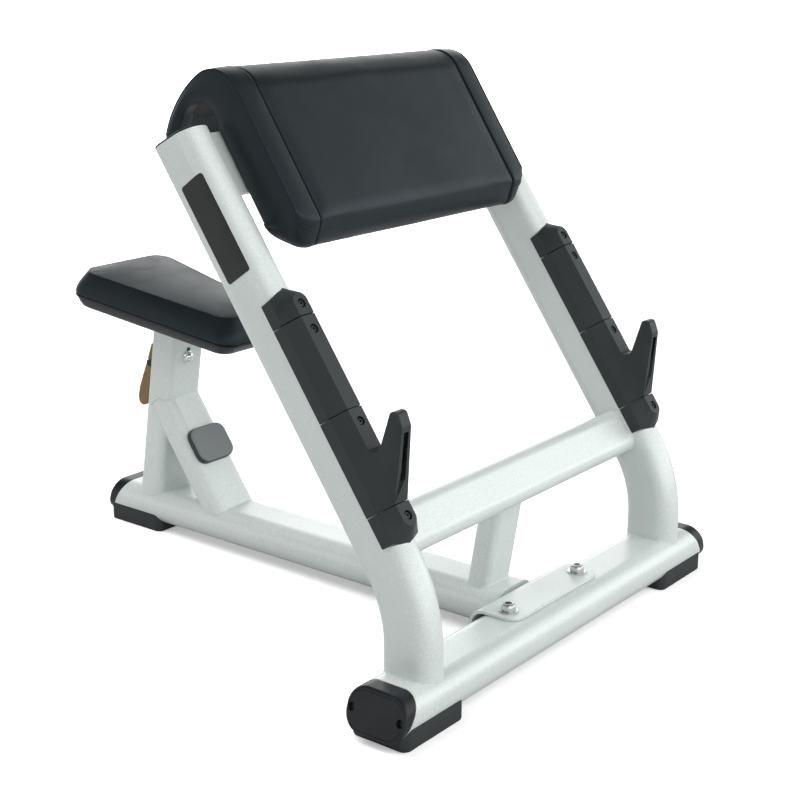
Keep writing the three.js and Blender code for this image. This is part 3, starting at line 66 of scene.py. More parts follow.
SHARP_ANGLE_SOFT = math.radians(60.0)
FLAT_ANGLE = math.radians(0.5)
FACE_WEIGHT = 80
TURN_SEED = 7

Outline = list[tuple[float, float]]
Ring = list[Vector]
Line = tuple[Ring, bool]
Spot = tuple[Vector, Vector]
Colour = tuple[float, float, float]
Place = tuple[float, float, float]
Socket = bpy.types.NodeSocket


class Body(Enum):
    """The rigid bodies that pieces ride on."""

    BENCH = "bench_frame"
    SEAT = "seat"
    LEVER = "lever"


class Side(Enum):
    """The two sides of the bench, with their sign along x."""

    LEFT = -1
    RIGHT = 1

    @property
    def word(self) -> str:
        """The side's name as the nodes spell it."""
        return self.name.lower()


# Frames of reference


def leaning(y: float, z: float, degrees_back: float) -> Matrix:
    """A frame on the middle line, at y and z in mm, whose z leans towards +Y by an angle."""
    turn = Matrix.Rotation(-math.radians(degrees_back), 4, "X")
    return Matrix.Translation((0.0, y, z)) @ turn


def row_matrix() -> Matrix:
    """The matrix from the bench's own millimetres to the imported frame's metres.

    Returns:
        The matrix.
    """
    low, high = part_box("front_beam")
    middle = (low.y + high.y) / 2
    return Matrix.Translation((0.0, middle, 0.0)) @ Matrix.Scale(MM, 4)


TO_ROW = row_matrix()
BENCH_FRAME = Matrix.Identity(4)
PAD_FRAME = leaning(262.0, 721.0, 33.5)
POST_FRAME = leaning(911.0, 81.0, -9.5)
BRACE_FRAME = leaning(743.7, 81.0, 35.3)
STRUT_FRAME = leaning(119.7, 81.0, -9.5)
RACK_FRAME = leaning(3.4, 191.0, 34.85)
UPRIGHT_ACROSS = 359.4
BACKWARDS = Matrix(((-1, 0, 0, 0), (0, 0, 1, 0), (0, 1, 0, 0), (0, 0, 0, 1)))
FORWARDS = Matrix.Rotation(QUARTER, 4, "X")


def rack_frame(side: Side) -> Matrix:
    """The leaning frame of one upright, with x = 0 on its middle."""
    return Matrix.Translation((side.value * UPRIGHT_ACROSS, 0.0, 0.0)) @ RACK_FRAME


def facing(frame_here: Matrix, y: float, z: float) -> Matrix:
    """A frame whose z points forwards, at a place in another frame's middle plane."""
    return frame_here @ Matrix.Translation((0.0, y, z)) @ FORWARDS


def spot(frame_here: Matrix, place: Sequence[float], axis: Sequence[float]) -> Spot:
    """A fastener's seat and its outward axis, both given in a frame."""
    return frame_here @ Vector(place), frame_here.to_3x3() @ Vector(axis)


# Outlines


def arc(x: float, y: float, radius: float, start: float, end: float, steps: int) -> Outline:
    """The ends of an arc's chords, round the centre x, y from a start to an end in radians."""
    angles = [start + (end - start) * i / steps for i in range(steps + 1)]
    return [(x + radius * math.cos(a), y + radius * math.sin(a)) for a in angles]


def hexagon(radius: float) -> Outline:
    """A hexagon round the origin, by its radius over the corners."""
    return arc(0.0, 0.0, radius, 0.0, FULL_TURN, 6)[:-1]


def tidy(outline: Outline) -> Outline:
    """The outline without points that repeat the one before."""
    return [p for i, p in enumerate(outline) if math.dist(p, outline[i - 1]) > 1e-4]


def rounded_box(width: float, depth: float, corner: float, steps: int = 12) -> Outline:
    """A rectangle with round corners, listed anticlockwise.

    Args:
        width: Its full size along x.
        depth: Its full size along y.
        corner: The corners' radius.
        steps: Chords for each corner.

    Returns:
        The outline's points.
    """
    x, y = width / 2 - corner, depth / 2 - corner
    points: Outline = []
    for turn, (cx, cy) in enumerate([(x, y), (-x, y), (-x, -y), (x, -y)]):
        points += arc(cx, cy, corner, turn * QUARTER, (turn + 1) * QUARTER, steps)
    return tidy(points)


def filleted(corners: Sequence[tuple[float, float, float]], steps: int = 6) -> Outline:
    """A polygon with rounded corners.

    Args:
        corners: Each corner as x, y and its fillet's radius.
        steps: Chords for each fillet.

    Returns:
        The outline's points.
    """
    points: Outline = []
    for i, (x, y, radius) in enumerate(corners):
        corner = Vector((x, y))
        if radius <= 0:
            points.append((x, y))
            continue
        back = (Vector(corners[i - 1][:2]) - corner).normalized()
        ahead = (Vector(corners[(i + 1) % len(corners)][:2]) - corner).normalized()
        half = back.angle(ahead) / 2
        centre = corner + (back + ahead).normalized() * radius / math.sin(half)
        first = corner + back * radius / math.tan(half) - centre
        last = corner + ahead * radius / math.tan(half) - centre
        start = math.atan2(first.y, first.x)
        sweep = math.remainder(math.atan2(last.y, last.x) - start, FULL_TURN)
        points += arc(centre.x, centre.y, radius, start, start + sweep, steps)
    return tidy(points)


def offset(outline: Outline, distance: float) -> Outline:
    """An anticlockwise outline moved outwards, or inwards where distance is negative."""
    return pushed(outline, [distance] * len(outline))


def pushed(outline: Outline, distances: Sequence[float]) -> Outline:
    """An anticlockwise outline whose points each move outwards by a distance of their own.

    Args:
        outline: The outline.
        distances: How far each point moves.

    Returns:
        The new one.
    """
    moved: Outline = []
    for i, (p, distance) in enumerate(zip(outline, distances)):
        here = Vector(p)
        first = (here - Vector(outline[i - 1])).normalized()
        second = (Vector(outline[(i + 1) % len(outline)]) - here).normalized()
        out = Vector((first.y + second.y, -first.x - second.x)).normalized()
        stretch = max(first.y * out.x - first.x * out.y, math.sqrt(0.5))
        moved.append(tuple(here + out * distance / stretch))
    return moved


def resampled(line: Outline, count: int, trim: float = 0.0) -> Outline:
    """An open line's points moved to even steps along it.

    Args:
        line: The points, first to last.
        count: How many points come back, ends included.
        trim: How much is left off at each end.

    Returns:
        The new points.
    """
    lengths = [0.0]
    for a, b in zip(line, line[1:]):
        lengths.append(lengths[-1] + math.dist(a, b))
    even: Outline = []
    leg = 0
    for i in range(count):
        wanted = trim + (lengths[-1] - 2 * trim) * i / (count - 1)
        while leg < len(line) - 2 and lengths[leg + 1] < wanted:
            leg += 1
        span = max(lengths[leg + 1] - lengths[leg], 1e-9)
        share = (wanted - lengths[leg]) / span
        a, b = line[leg], line[leg + 1]
        even.append((a[0] + (b[0] - a[0]) * share, a[1] + (b[1] - a[1]) * share))
    return even


def joined(stretches: Sequence[tuple[Outline, int]]) -> Outline:
    """Lines laid end to end, each with a number of steps of its own.

    Args:
        stretches: Each line and its number of steps.

    Returns:
        The points.
    """
    points: Outline = [stretches[0][0][0]]
    for line, steps in stretches:
        points += resampled(line, steps + 1)[1:]
    return points


# Solids


def linked(name: str, data: Any) -> bpy.types.Object:
    """A new object in the scene that shows a mesh, a light or a camera.

    Args:
        name: Its name.
        data: What it shows.

    Returns:
        The object.
    """
    obj = bpy.data.objects.new(name, data)
    bpy.context.scene.collection.objects.link(obj)
    return obj


def bake(obj: bpy.types.Object) -> bpy.types.Object:
    """Bakes an object's modifiers into its mesh.

    Args:
        obj: The object.

    Returns:
        The same object.
    """
    graph = bpy.context.evaluated_depsgraph_get()
    graph.update()
    mesh = bpy.data.meshes.new_from_object(obj.evaluated_get(graph), depsgraph=graph)
    obj.modifiers.clear()
    obj.data = mesh
    return obj


class Solid:
    """A closed mesh in the making, in millimetres in the bench's own frame."""

    def __init__(self, points: Iterable[Sequence[float]], faces: Iterable[Sequence[int]]) -> None:
        """Builds the mesh, with its points in their order and its faces turned outwards.

        Args:
            points: The corners.
            faces: Each face's corners, by number.
        """
        mesh = bpy.data.meshes.new("solid")
        mesh.from_pydata([tuple(p) for p in points], [], [tuple(f) for f in faces])
        work = bmesh.new()
        work.from_mesh(mesh)
        bmesh.ops.recalc_face_normals(work, faces=work.faces)
        work.to_mesh(mesh)
        work.free()
        self.obj = linked("solid", mesh)

    def boolean(self, other: "Solid", operation: str) -> "Solid":
        """Joins or cuts with another solid, which is used up.

        Args:
            other: The solid that joins or cuts.
            operation: DIFFERENCE, UNION or INTERSECT.

        Returns:
            This solid.
        """
        modifier = self.obj.modifiers.new("boolean", "BOOLEAN")
        modifier.operation = operation
        modifier.solver = "EXACT"
        modifier.object = other.obj
        bake(self.obj)
        bpy.data.objects.remove(other.obj)
        return self

    def cut(self, other: "Solid") -> "Solid":
        """Cuts another solid out of this one."""
        return self.boolean(other, "DIFFERENCE")

    def join(self, other: "Solid") -> "Solid":
        """Joins another solid to this one."""
        return self.boolean(other, "UNION")

    def bevel(self, width: float, segments: int = 2) -> "Solid":
        """Rounds the sharp edges.

        Args:
            width: The rounding's size in mm.
            segments: Faces across each rounded edge.

        Returns:
            This solid.
        """
        modifier = self.obj.modifiers.new("bevel", "BEVEL")
        modifier.width = width
        modifier.segments = segments
        modifier.limit_method = "ANGLE"
        modifier.angle_limit = BEVEL_ANGLE
        modifier.use_clamp_overlap = True
        modifier.miter_outer = "MITER_ARC"
        bake(self.obj)
        return self

    def finish(
        self, name: str, finish: "Finish", replaces: Sequence[str] = (), body: Body = Body.BENCH
    ) -> None:
        """Makes the solid a finished piece of the bench.

        Args:
            name: The piece's name.
            finish: Its material.
            replaces: The CAD nodes that it stands for.
            body: The body that it rides on.
        """
        mesh = self.obj.data
        mesh.shade_smooth()
        mesh.set_sharp_from_angle(angle=SHARP_ANGLE)
        mesh.transform(TO_ROW)
        weights = self.obj.modifiers.new("normals", "WEIGHTED_NORMAL")
        weights.keep_sharp = True
        weights.weight = FACE_WEIGHT
        hand_over(bake(self.obj), name, finish, replaces, body)


def hand_over(
    obj: bpy.types.Object, name: str, finish: "Finish", replaces: Sequence[str], body: Body
) -> None:
    """Names and dresses an object that is in place, in metres, and puts it on its body.

    Args:
        obj: The object, at the origin.
        name: The piece's name.
        finish: Its material.
        replaces: The CAD nodes that it stands for.
        body: The body that it rides on.
    """
    obj.name = name
    obj.data.name = name
    obj.data.materials.clear()
    obj.data.materials.append(finish.material())
    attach(obj, body.value)
    if replaces:
        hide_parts(*replaces)
    LOG.info("%s: %d faces, on %s", name, len(obj.data.polygons), body.value)


def bands(rings: int, count: int) -> list[Sequence[int]]:
    """The quads between rings of points that are counted one ring after another.

    Args:
        rings: How many rings.
        count: Points on each.

    Returns:
        The faces.
    """
    faces: list[Sequence[int]] = []
    for r in range(rings - 1):
        for i in range(count):
            a, b = r * count + i, r * count + (i + 1) % count
            faces.append((a, b, b + count, a + count))
    return faces


def loft(rings: Sequence[Ring]) -> Solid:
    """A solid through rings of points that match one to one, closed by flat ends.

    Args:
        rings: The rings, first to last.

    Returns:
        The solid.
    """
    count = len(rings[0])
    points = [p for ring in rings for p in ring]
    ends = [range(count)[::-1], range(len(points) - count, len(points))]
    return Solid(points, [*bands(len(rings), count), *ends])


def ring(outline: Outline, height: float, matrix: Matrix = BENCH_FRAME, rake: float = 0.0) -> Ring:
    """An outline of x and y at a height in a frame, where a rake in degrees lowers it as y grows."""
    slope = math.tan(math.radians(rake))
    return [matrix @ Vector((x, y, height - slope * y)) for x, y in outline]


def prism(outline: Outline, low: float, high: float, matrix: Matrix = BENCH_FRAME) -> Solid:
    """An outline of x and y carried from one height to another in a frame."""
    return loft([ring(outline, low, matrix), ring(outline, high, matrix)])


ACROSS = Matrix(((0, 0, 1, 0), (1, 0, 0, 0), (0, 1, 0, 0), (0, 0, 0, 1)))


def across(outline: Outline, low: float, high: float, matrix: Matrix = BENCH_FRAME) -> Solid:
    """An outline of y and z carried across in x."""
    return prism(outline, low, high, matrix @ ACROSS)


def turned(profile: Outline, steps: int = 40, matrix: Matrix = BENCH_FRAME) -> Solid:
    """A solid of revolution about z.

    Args:
        profile: Pairs of radius and height, which start and end on the axis.
        steps: Faces round the axis.
        matrix: The frame that it stands in.

    Returns:
        The solid.
    """
    middle = profile[1:-1]
    points = [Vector((0.0, 0.0, profile[0][1]))]
    for r, z in middle:
        points += [Vector((x, y, z)) for x, y in arc(0.0, 0.0, r, 0.0, FULL_TURN, steps)[:-1]]
    points.append(Vector((0.0, 0.0, profile[-1][1])))
    faces: list[Sequence[int]] = []
    for k in range(steps):
        n = (k + 1) % steps
        faces.append((0, 1 + n, 1 + k))
        for r in range(len(middle) - 1):
            a, b = 1 + r * steps + k, 1 + r * steps + n
            faces.append((a, b, b + steps, a + steps))
        last = 1 + (len(middle) - 1) * steps
        faces.append((last + k, last + n, len(points) - 1))
    return Solid([matrix @ p for p in points], faces)


def rod(radius: float, low: float, high: float, matrix: Matrix, steps: int = 40) -> Solid:
    """A plain cylinder for cutting, along its frame's z."""
    return turned([(0.0, low), (radius, low), (radius, high), (0.0, high)], steps, matrix)


def hull(points: Iterable[Sequence[float]], matrix: Matrix) -> Solid:
    """The smallest convex solid round a set of points.

    Args:
        points: The points.
        matrix: The frame that they stand in.

    Returns:
        The solid.
    """
    work = bmesh.new()
    for p in points:
        work.verts.new(matrix @ Vector(p))
    made = bmesh.ops.convex_hull(work, input=work.verts)
    loose = list({*made["geom_interior"], *made["geom_unused"]})
    bmesh.ops.delete(work, geom=[g for g in loose if isinstance(g, bmesh.types.BMVert)])
    bmesh.ops.dissolve_limit(work, angle_limit=FLAT_ANGLE, verts=work.verts, edges=work.edges)
    work.verts.index_update()
    corners = [v.co.copy() for v in work.verts]
    faces = [[v.index for v in f.verts] for f in work.faces]
    work.free()
    return Solid(corners, faces)


# Node trees


class Tree:
    """A node tree being wired, for shader groups and Geometry Nodes alike."""

    def __init__(self, nodes_of: Any) -> None:
        """Keeps the tree whose nodes are made."""
        self.tree = nodes_of

    def node(
        self, kind: str, inputs: dict[int | str, Any] | None = None, **settings: Any
    ) -> bpy.types.Node:
        """Adds a node.

        Args:
            kind: Blender's name of the node.
            inputs: What each input holds, a value or another node's output socket.
            settings: The node's own properties.

        Returns:
            The node.
        """
        made = self.tree.nodes.new(kind)
        for key, value in settings.items():
            setattr(made, key, value)
        for key, value in (inputs or {}).items():
            if isinstance(value, Socket):
                self.tree.links.new(value, made.inputs[key])
            else:
                made.inputs[key].default_value = value
        return made

    def out(
        self,
        kind: str,
        inputs: dict[int | str, Any] | None = None,
        output: int | str = 0,
        **settings: Any,
    ) -> Socket:
        """Adds a node and gives one of its output sockets."""
        return self.node(kind, inputs, **settings).outputs[output]

    def place(self) -> Socket:
        """The place in the piece's own space."""
        return self.out("ShaderNodeTexCoord", output="Object")

    def maths(self, operation: str, first: Any, second: Any = 0.0) -> Socket:
        """One step of arithmetic."""
        return self.out("ShaderNodeMath", {0: first, 1: second}, operation=operation)

    def blend(self, share: Any, low: Any, high: Any, how: str = "MIX") -> Socket:
        """A colour between two others, or another mixture of them by Blender's name of it."""
        return self.out("ShaderNodeMix", {0: share, 6: low, 7: high}, output=2,
                        data_type="RGBA", blend_type=how)

    def ramp(self, value: Any, start: Any, end: Any, low: float, high: float) -> Socket:
        """A value moved from one range to another, smoothly and held at its ends."""
        return self.out("ShaderNodeMapRange", {0: value, 1: start, 2: end, 3: low, 4: high},
                        interpolation_type="SMOOTHSTEP")

    def noise(self, place: Any, scale: Any, detail: float = 2.0) -> Socket:
        """A noise value on a coordinate."""
        return self.out("ShaderNodeTexNoise", {"Vector": place, "Scale": scale, "Detail": detail})

    def close(self, **results: Socket) -> Any:
        """Gives a group its results as named outputs, and gives the group.

        Args:
            results: Each output's socket, by its name.

        Returns:
            The group.
        """
        for title, value in results.items():
            self.tree.interface.new_socket(title, in_out="OUTPUT", socket_type=SOCKETS[value.type])
        self.node("NodeGroupOutput", results)
        return self.tree


SOCKETS = {"VALUE": "NodeSocketFloat", "RGBA": "NodeSocketColor", "GEOMETRY": "NodeSocketGeometry",
           float: "NodeSocketFloat", tuple: "NodeSocketColor", int: "NodeSocketInt"}


def blank_tree(owner: Any) -> Tree:
    """The emptied node tree of a material or a world.

    Args:
        owner: The material or the world.

    Returns:
        The tree.
    """
    owner.use_nodes = True
    owner.node_tree.nodes.clear()
    return Tree(owner.node_tree)


def new_tree(name: str, kind: str, inputs: dict[str, Any]) -> tuple[Tree, Any]:
    """Starts a node group with named inputs.

    Args:
        name: The group's name.
        kind: ShaderNodeTree or GeometryNodeTree.
        inputs: Each input's first value by name, or its socket type where it starts empty.

    Returns:
        The tree, and the sockets that give its inputs.
    """
    group = bpy.data.node_groups.new(name, kind)
    for title, value in inputs.items():
        socket = value if isinstance(value, str) else SOCKETS[type(value)]
        made = group.interface.new_socket(title, in_out="INPUT", socket_type=socket)
        if socket is not value:
            made.default_value = value
    tree = Tree(group)
    return tree, tree.node("NodeGroupInput").outputs


@cache
def fleck_group() -> Any:
    """Metallic flecks and soft cloudiness in paint: colour, roughness and height.

    Returns:
        The group.
    """
    tree, given = new_tree("paint_fleck", "ShaderNodeTree", {
        "Colour": (0.7, 0.7, 0.7, 1.0),
        "Fleck": (0.9, 0.9, 0.9, 1.0),
        "Fleck Scale": 900.0,
        "Fleck Share": 0.5,
        "Roughness": 0.4,
    })
    cloud_scale, peel_scale = 7.0, 420.0
    place = tree.place()
    fine = tree.noise(place, given["Fleck Scale"], 1.0)
    cloud = tree.noise(place, cloud_scale, 3.0)
    peel = tree.noise(place, peel_scale, 1.0)
    share = tree.maths("MULTIPLY", tree.ramp(fine, 0.45, 0.68, 0.0, 1.0), given["Fleck Share"])
    flecked = tree.blend(share, given["Colour"], given["Fleck"])
    shade = tree.ramp(cloud, 0.3, 0.7, 0.965, 1.0)
    grey = tree.out("ShaderNodeCombineColor", {0: shade, 1: shade, 2: shade})
    clouded = tree.blend(1.0, flecked, grey, "MULTIPLY")
    rough = tree.maths("ADD", given["Roughness"], tree.ramp(cloud, 0.3, 0.7, -0.03, 0.03))
    return tree.close(Colour=clouded, Roughness=rough, Height=peel)


@cache
def grain_group() -> Any:
    """The spark-eroded grain of a moulding: colour, roughness and height.

    Returns:
        The group.
    """
    tree, given = new_tree("moulded_grain", "ShaderNodeTree", {
        "Colour": (0.05, 0.05, 0.05, 1.0),
        "Grain Scale": 900.0,
        "Roughness": 0.5,
    })
    flow_scale, white_share = 11.0, 0.008
    place = tree.place()
    grain = tree.noise(place, given["Grain Scale"], 3.0)
    flow = tree.noise(place, flow_scale)
    lighter = tree.blend(white_share, given["Colour"], (1.0, 1.0, 1.0, 1.0))
    colour = tree.blend(tree.ramp(flow, 0.35, 0.75, 0.0, 0.5), given["Colour"], lighter)
    rough = tree.maths("ADD", given["Roughness"], tree.ramp(grain, 0.3, 0.7, -0.05, 0.05))
    return tree.close(Colour=colour, Roughness=rough, Height=grain)


@cache
def hide_group() -> Any:
    """The pebbled grain of upholstery vinyl: its valleys as a mask, and its height.

    Returns:
        The group.
    """
    tree, given = new_tree("vinyl_hide", "ShaderNodeTree", {
        "Pebble Scale": 800.0,
        "Valley": 0.25,
    })
    bend_scale, bend_reach = 260.0, 0.0016
    place = tree.place()
    bent = tree.out("ShaderNodeTexNoise", {"Vector": place, "Scale": bend_scale, "Detail": 1.0},
                    output="Color")
    nudge = tree.out("ShaderNodeVectorMath", {0: bent, 1: (bend_reach,) * 3},
                     operation="MULTIPLY")
    wavy = tree.out("ShaderNodeVectorMath", {0: place, 1: nudge}, operation="ADD")
    edge = tree.out("ShaderNodeTexVoronoi", {"Vector": wavy, "Scale": given["Pebble Scale"]},
                    feature="DISTANCE_TO_EDGE")
    height = tree.ramp(edge, 0.0, given["Valley"], 0.0, 1.0)
    valleys = tree.maths("SUBTRACT", 1.0, height)
    return tree.close(Valleys=valleys, Height=height)


@cache
def wear_group() -> Any:
    """Light handling marks and dust: a changed colour and roughness.

    Returns:
        The group.
    """
    tree, given = new_tree("handling", "ShaderNodeTree", {
        "Colour": (0.5, 0.5, 0.5, 1.0),
        "Roughness": 0.5,
        "Dust": 0.1,
        "Dust Colour": (0.6, 0.6, 0.58, 1.0),
    })
    patch_scale, speck_scale, dulling = 14.0, 160.0, 0.5
    place = tree.place()
    patches = tree.ramp(tree.noise(place, patch_scale, 5.0), 0.5, 0.8, 0.0, 1.0)
    fine = tree.ramp(tree.noise(place, speck_scale), 0.4, 0.7, 0.3, 1.0)
    normal = tree.out("ShaderNodeNewGeometry", output="Normal")
    upward = tree.out("ShaderNodeSeparateXYZ", {0: normal}, output="Z")
    lying = tree.ramp(upward, 0.2, 1.0, 0.25, 1.0)
    spots = tree.maths("MULTIPLY", tree.maths("MULTIPLY", patches, fine), lying)
    share = tree.maths("MULTIPLY", spots, given["Dust"])
    colour = tree.blend(share, given["Colour"], given["Dust Colour"])
    rough = tree.maths("ADD", given["Roughness"], tree.maths("MULTIPLY", share, dulling))
    return tree.close(Colour=colour, Roughness=rough)


# Finishes


def rgba(colour: Colour) -> tuple[float, float, float, float]:
    """A colour with full alpha."""
    return (*colour, 1.0)


@dataclass(frozen=True)
class Finish:
    """One surface finish. A subclass says what its pattern is."""

    name: str
    slot: str
    colour: Colour
    roughness: float
    metallic: float = 0.0
    specular: float = 0.5
    coat: float = 0.0
    coat_roughness: float = 0.2
    bump: float = 0.00002
    dust: float = 0.015
    tint: Colour = (1.0, 1.0, 1.0)

    @cache
    def material(self) -> bpy.types.Material:
        """The finish's material, built the first time that it is asked for.

        Returns:
            The material.
        """
        made = bpy.data.materials.new(self.name)
        tree = blank_tree(made)
        colour, rough, height = self.pattern(tree)
        given = {"Colour": colour, "Roughness": rough, "Dust": self.dust}
        worn = tree.node("ShaderNodeGroup", given, node_tree=wear_group()).outputs
        bump = tree.out("ShaderNodeBump", {"Strength": 1.0, "Distance": self.bump, "Height": height})
        shader = tree.out("ShaderNodeBsdfPrincipled", {
            "Base Color": worn["Colour"],
            "Roughness": worn["Roughness"],
            "Metallic": self.metallic,
            "Specular IOR Level": self.specular,
            "Specular Tint": rgba(self.tint),
            "Coat Weight": self.coat,
            "Coat Roughness": self.coat_roughness,
            "Normal": bump,
        })
        tree.node("ShaderNodeOutputMaterial", {"Surface": shader})
        made.diffuse_color = rgba(self.colour)
        return made

    def pattern(self, tree: Tree) -> tuple[Any, Any, Any]:
        """The colour, roughness and height sockets of the finish."""
        raise NotImplementedError

    def grouped(self, tree: Tree, group: Any, values: dict[str, Any]) -> tuple[Any, Any, Any]:
        """The colour, roughness and height that a group makes of the finish's own values.

        Args:
            tree: The material's tree.
            group: The group.
            values: What its further inputs hold.

        Returns:
            The three sockets.
        """
        given = {"Colour": rgba(self.colour), "Roughness": self.roughness, **values}
        made = tree.node("ShaderNodeGroup", given, node_tree=group).outputs
        return made["Colour"], made["Roughness"], made["Height"]


@dataclass(frozen=True)
class Paint(Finish):
    """Metallic powder coat with flecks."""

    fleck: Colour = (0.95, 0.97, 0.96)
    fleck_scale: float = 900.0
    fleck_share: float = 0.5

    def pattern(self, tree: Tree) -> tuple[Any, Any, Any]:
        """Flecks over clouded paint."""
        return self.grouped(tree, fleck_group(), {
            "Fleck": rgba(self.fleck),
            "Fleck Scale": self.fleck_scale,
            "Fleck Share": self.fleck_share,
        })


@dataclass(frozen=True)
class Moulding(Finish):
    """Moulded plastic or rubber with a fine eroded grain."""

    grain_scale: float = 900.0

    def pattern(self, tree: Tree) -> tuple[Any, Any, Any]:
        """Fine grain over slightly uneven colour."""
        return self.grouped(tree, grain_group(), {"Grain Scale": self.grain_scale})


@dataclass(frozen=True)
class Vinyl(Finish):
    """Upholstery vinyl with a pebbled grain, with painted shade darkening the valleys between pebbles."""

    valley_colour: Colour = (0.003, 0.0038, 0.0042)
    valley_share: float = 0.55
    valley_roughness: float = 0.12
    pebble_scale: float = 800.0
    rub_scale: float = 9.0

    def pattern(self, tree: Tree) -> tuple[Any, Any, Any]:
        """Pebbles, with painted shade darkening the valleys between them, which are also duller.

        Args:
            tree: The material's tree.

        Returns:
            The colour, roughness and height.
        """
        pebbles = tree.node("ShaderNodeGroup", {"Pebble Scale": self.pebble_scale},
                            node_tree=hide_group()).outputs
        # Painted shade: the valleys' colour is darkened where the grain's creases would be shaded.
        share = tree.maths("MULTIPLY", pebbles["Valleys"], self.valley_share)
        colour = tree.blend(share, rgba(self.colour), rgba(self.valley_colour))
        rubbed = tree.ramp(tree.noise(tree.place(), self.rub_scale, 3.0), 0.35, 0.7, -0.04, 0.05)
        duller = tree.maths("MULTIPLY", pebbles["Valleys"], self.valley_roughness)
        rough = tree.maths("ADD", duller, self.roughness)
        return colour, tree.maths("ADD", rough, rubbed), pebbles["Height"]


@dataclass(frozen=True)
class Metal(Finish):
    """Bare or plated metal with fine streaks."""

    streak_scale: float = 300.0
    stretch: tuple[float, float, float] = (1.0, 1.0, 9.0)
    darkening: float = 0.82

    def pattern(self, tree: Tree) -> tuple[Any, Any, Any]:
        """Streaks that change the roughness and, a little, the colour.

        Args:
            tree: The material's tree.

        Returns:
            The colour, roughness and height.
        """
        stretched = tree.out("ShaderNodeMapping", {"Vector": tree.place(), "Scale": self.stretch})
        streak = tree.noise(stretched, self.streak_scale)
        darker = tuple(c * self.darkening for c in self.colour)
        colour = tree.blend(tree.ramp(streak, 0.3, 0.7, 0.0, 0.6), rgba(self.colour), rgba(darker))
        rough = tree.maths("ADD", tree.ramp(streak, 0.3, 0.7, -0.04, 0.06), self.roughness)
        return colour, rough, streak


SILVER = Paint("silver_powder_coat", "silver_paint", (0.59, 0.645, 0.622), 0.38, metallic=0.3,
               coat=0.15, coat_roughness=0.3, bump=0.00003, dust=0.01,
               fleck=(0.93, 0.96, 0.95))
COOL: Colour = (0.68, 0.88, 1.0)
CAP_BLACK = Moulding("cap_plastic", "black_plastic", (0.006, 0.0085, 0.0115), 0.34, bump=0.00001,
                     specular=0.35)
GUARD_GREY = Moulding("guard_urethane", "guard_plastic", (0.0175, 0.0225, 0.0245), 0.42, bump=0.00001,
                      specular=0.4)
FOOT_GREY = Moulding("foot_moulding", "foot_rubber", (0.022, 0.026, 0.028), 0.62, bump=0.00003,
                     specular=0.4)
BADGE_GREY = Moulding("badge_plastic", "badge_grey", (0.15, 0.165, 0.17), 0.45, bump=0.00001)
PATCH_BLACK = Moulding("patch_vinyl", "black_plastic", (0.012, 0.013, 0.014), 0.4, bump=0.000005)
BOARD_BLACK = Moulding("board_paint", "black_board", (0.016, 0.016, 0.017), 0.6, grain_scale=200.0,
                       bump=0.0001)
LEVER_PAINT = Paint("lever_coat", "lever_bronze", (0.2, 0.125, 0.05), 0.4, metallic=0.35,
                    fleck=(0.33, 0.22, 0.1))
BLACK_PAINT = Paint("black_powder_coat", "black_paint", (0.02, 0.02, 0.021), 0.42,
                    fleck=(0.04, 0.04, 0.042), fleck_share=0.3)
ZINC = Metal("zinc_plate", "zinc_steel", (0.66, 0.67, 0.66), 0.24, metallic=1.0, bump=0.000004)
DARK_STEEL = Metal("black_oxide", "black_steel", (0.06, 0.065, 0.068), 0.34, metallic=0.7,
                   bump=0.000004)
CHROME = Metal("chrome_plate", "chrome_steel", (0.8, 0.81, 0.82), 0.08, metallic=1.0,
               bump=0.000002)
SPRING = Metal("spring_wire", "spring_steel", (0.42, 0.43, 0.44), 0.3, metallic=1.0,
               bump=0.000004)
PAD_VINYL = Vinyl("stitched_vinyl", "pad_vinyl", (0.0065, 0.0088, 0.0098), 0.36, bump=0.000018,
                  specular=0.42, tint=COOL)
THREAD = Moulding("seam_thread", "pad_vinyl", (0.016, 0.018, 0.019), 0.6, bump=0.00002)


# Repeated pieces, by Geometry Nodes


def carrier_of(lines: Sequence[Line]) -> bpy.types.Object:
    """One mesh, in metres, of several lines given in mm, each open or closed.

    Args:
        lines: The lines.

    Returns:
        The mesh's object.
    """
    points: list[Vector] = []
    edges: list[tuple[int, int]] = []
    for line, closed in lines:
        first = len(points)
        points += [TO_ROW @ p for p in line]
        edges += [(first + i, first + i + 1) for i in range(len(line) - 1)]
        if closed:
            edges.append((len(points) - 1, first))
    mesh = bpy.data.meshes.new("lines")
    mesh.from_pydata([tuple(p) for p in points], edges, [])
    return linked("lines", mesh)


def run_tree(tree: Any, carrier: bpy.types.Object, values: dict[str, Any]) -> bpy.types.Object:
    """Runs a Geometry Nodes tree on a mesh and keeps its result as a plain mesh.

    Args:
        tree: The Geometry Nodes tree.
        carrier: The object whose mesh feeds it.
        values: The inputs by name.

    Returns:
        The same object, which now holds the result.
    """
    modifier = carrier.modifiers.new("repeats", "NODES")
    modifier.node_group = tree
    for item in tree.interface.items_tree:
        if item.in_out == "INPUT" and item.name in values:
            modifier[item.identifier] = values[item.name]
    carrier.update_tag()
    return bake(carrier)


def closed_tree(tree: Tree, shape: Any, given: Any) -> Any:
    """Ends a Geometry Nodes tree: makes its shapes real and dresses them.

    Args:
        tree: The tree.
        shape: Its shapes.
        given: Its inputs.

    Returns:
        The group.
    """
    real = tree.out("GeometryNodeRealizeInstances", {"Geometry": shape})
    dressed = tree.out("GeometryNodeSetMaterial", {"Geometry": real, "Material": given["Finish"]})
    return tree.close(Geometry=dressed)


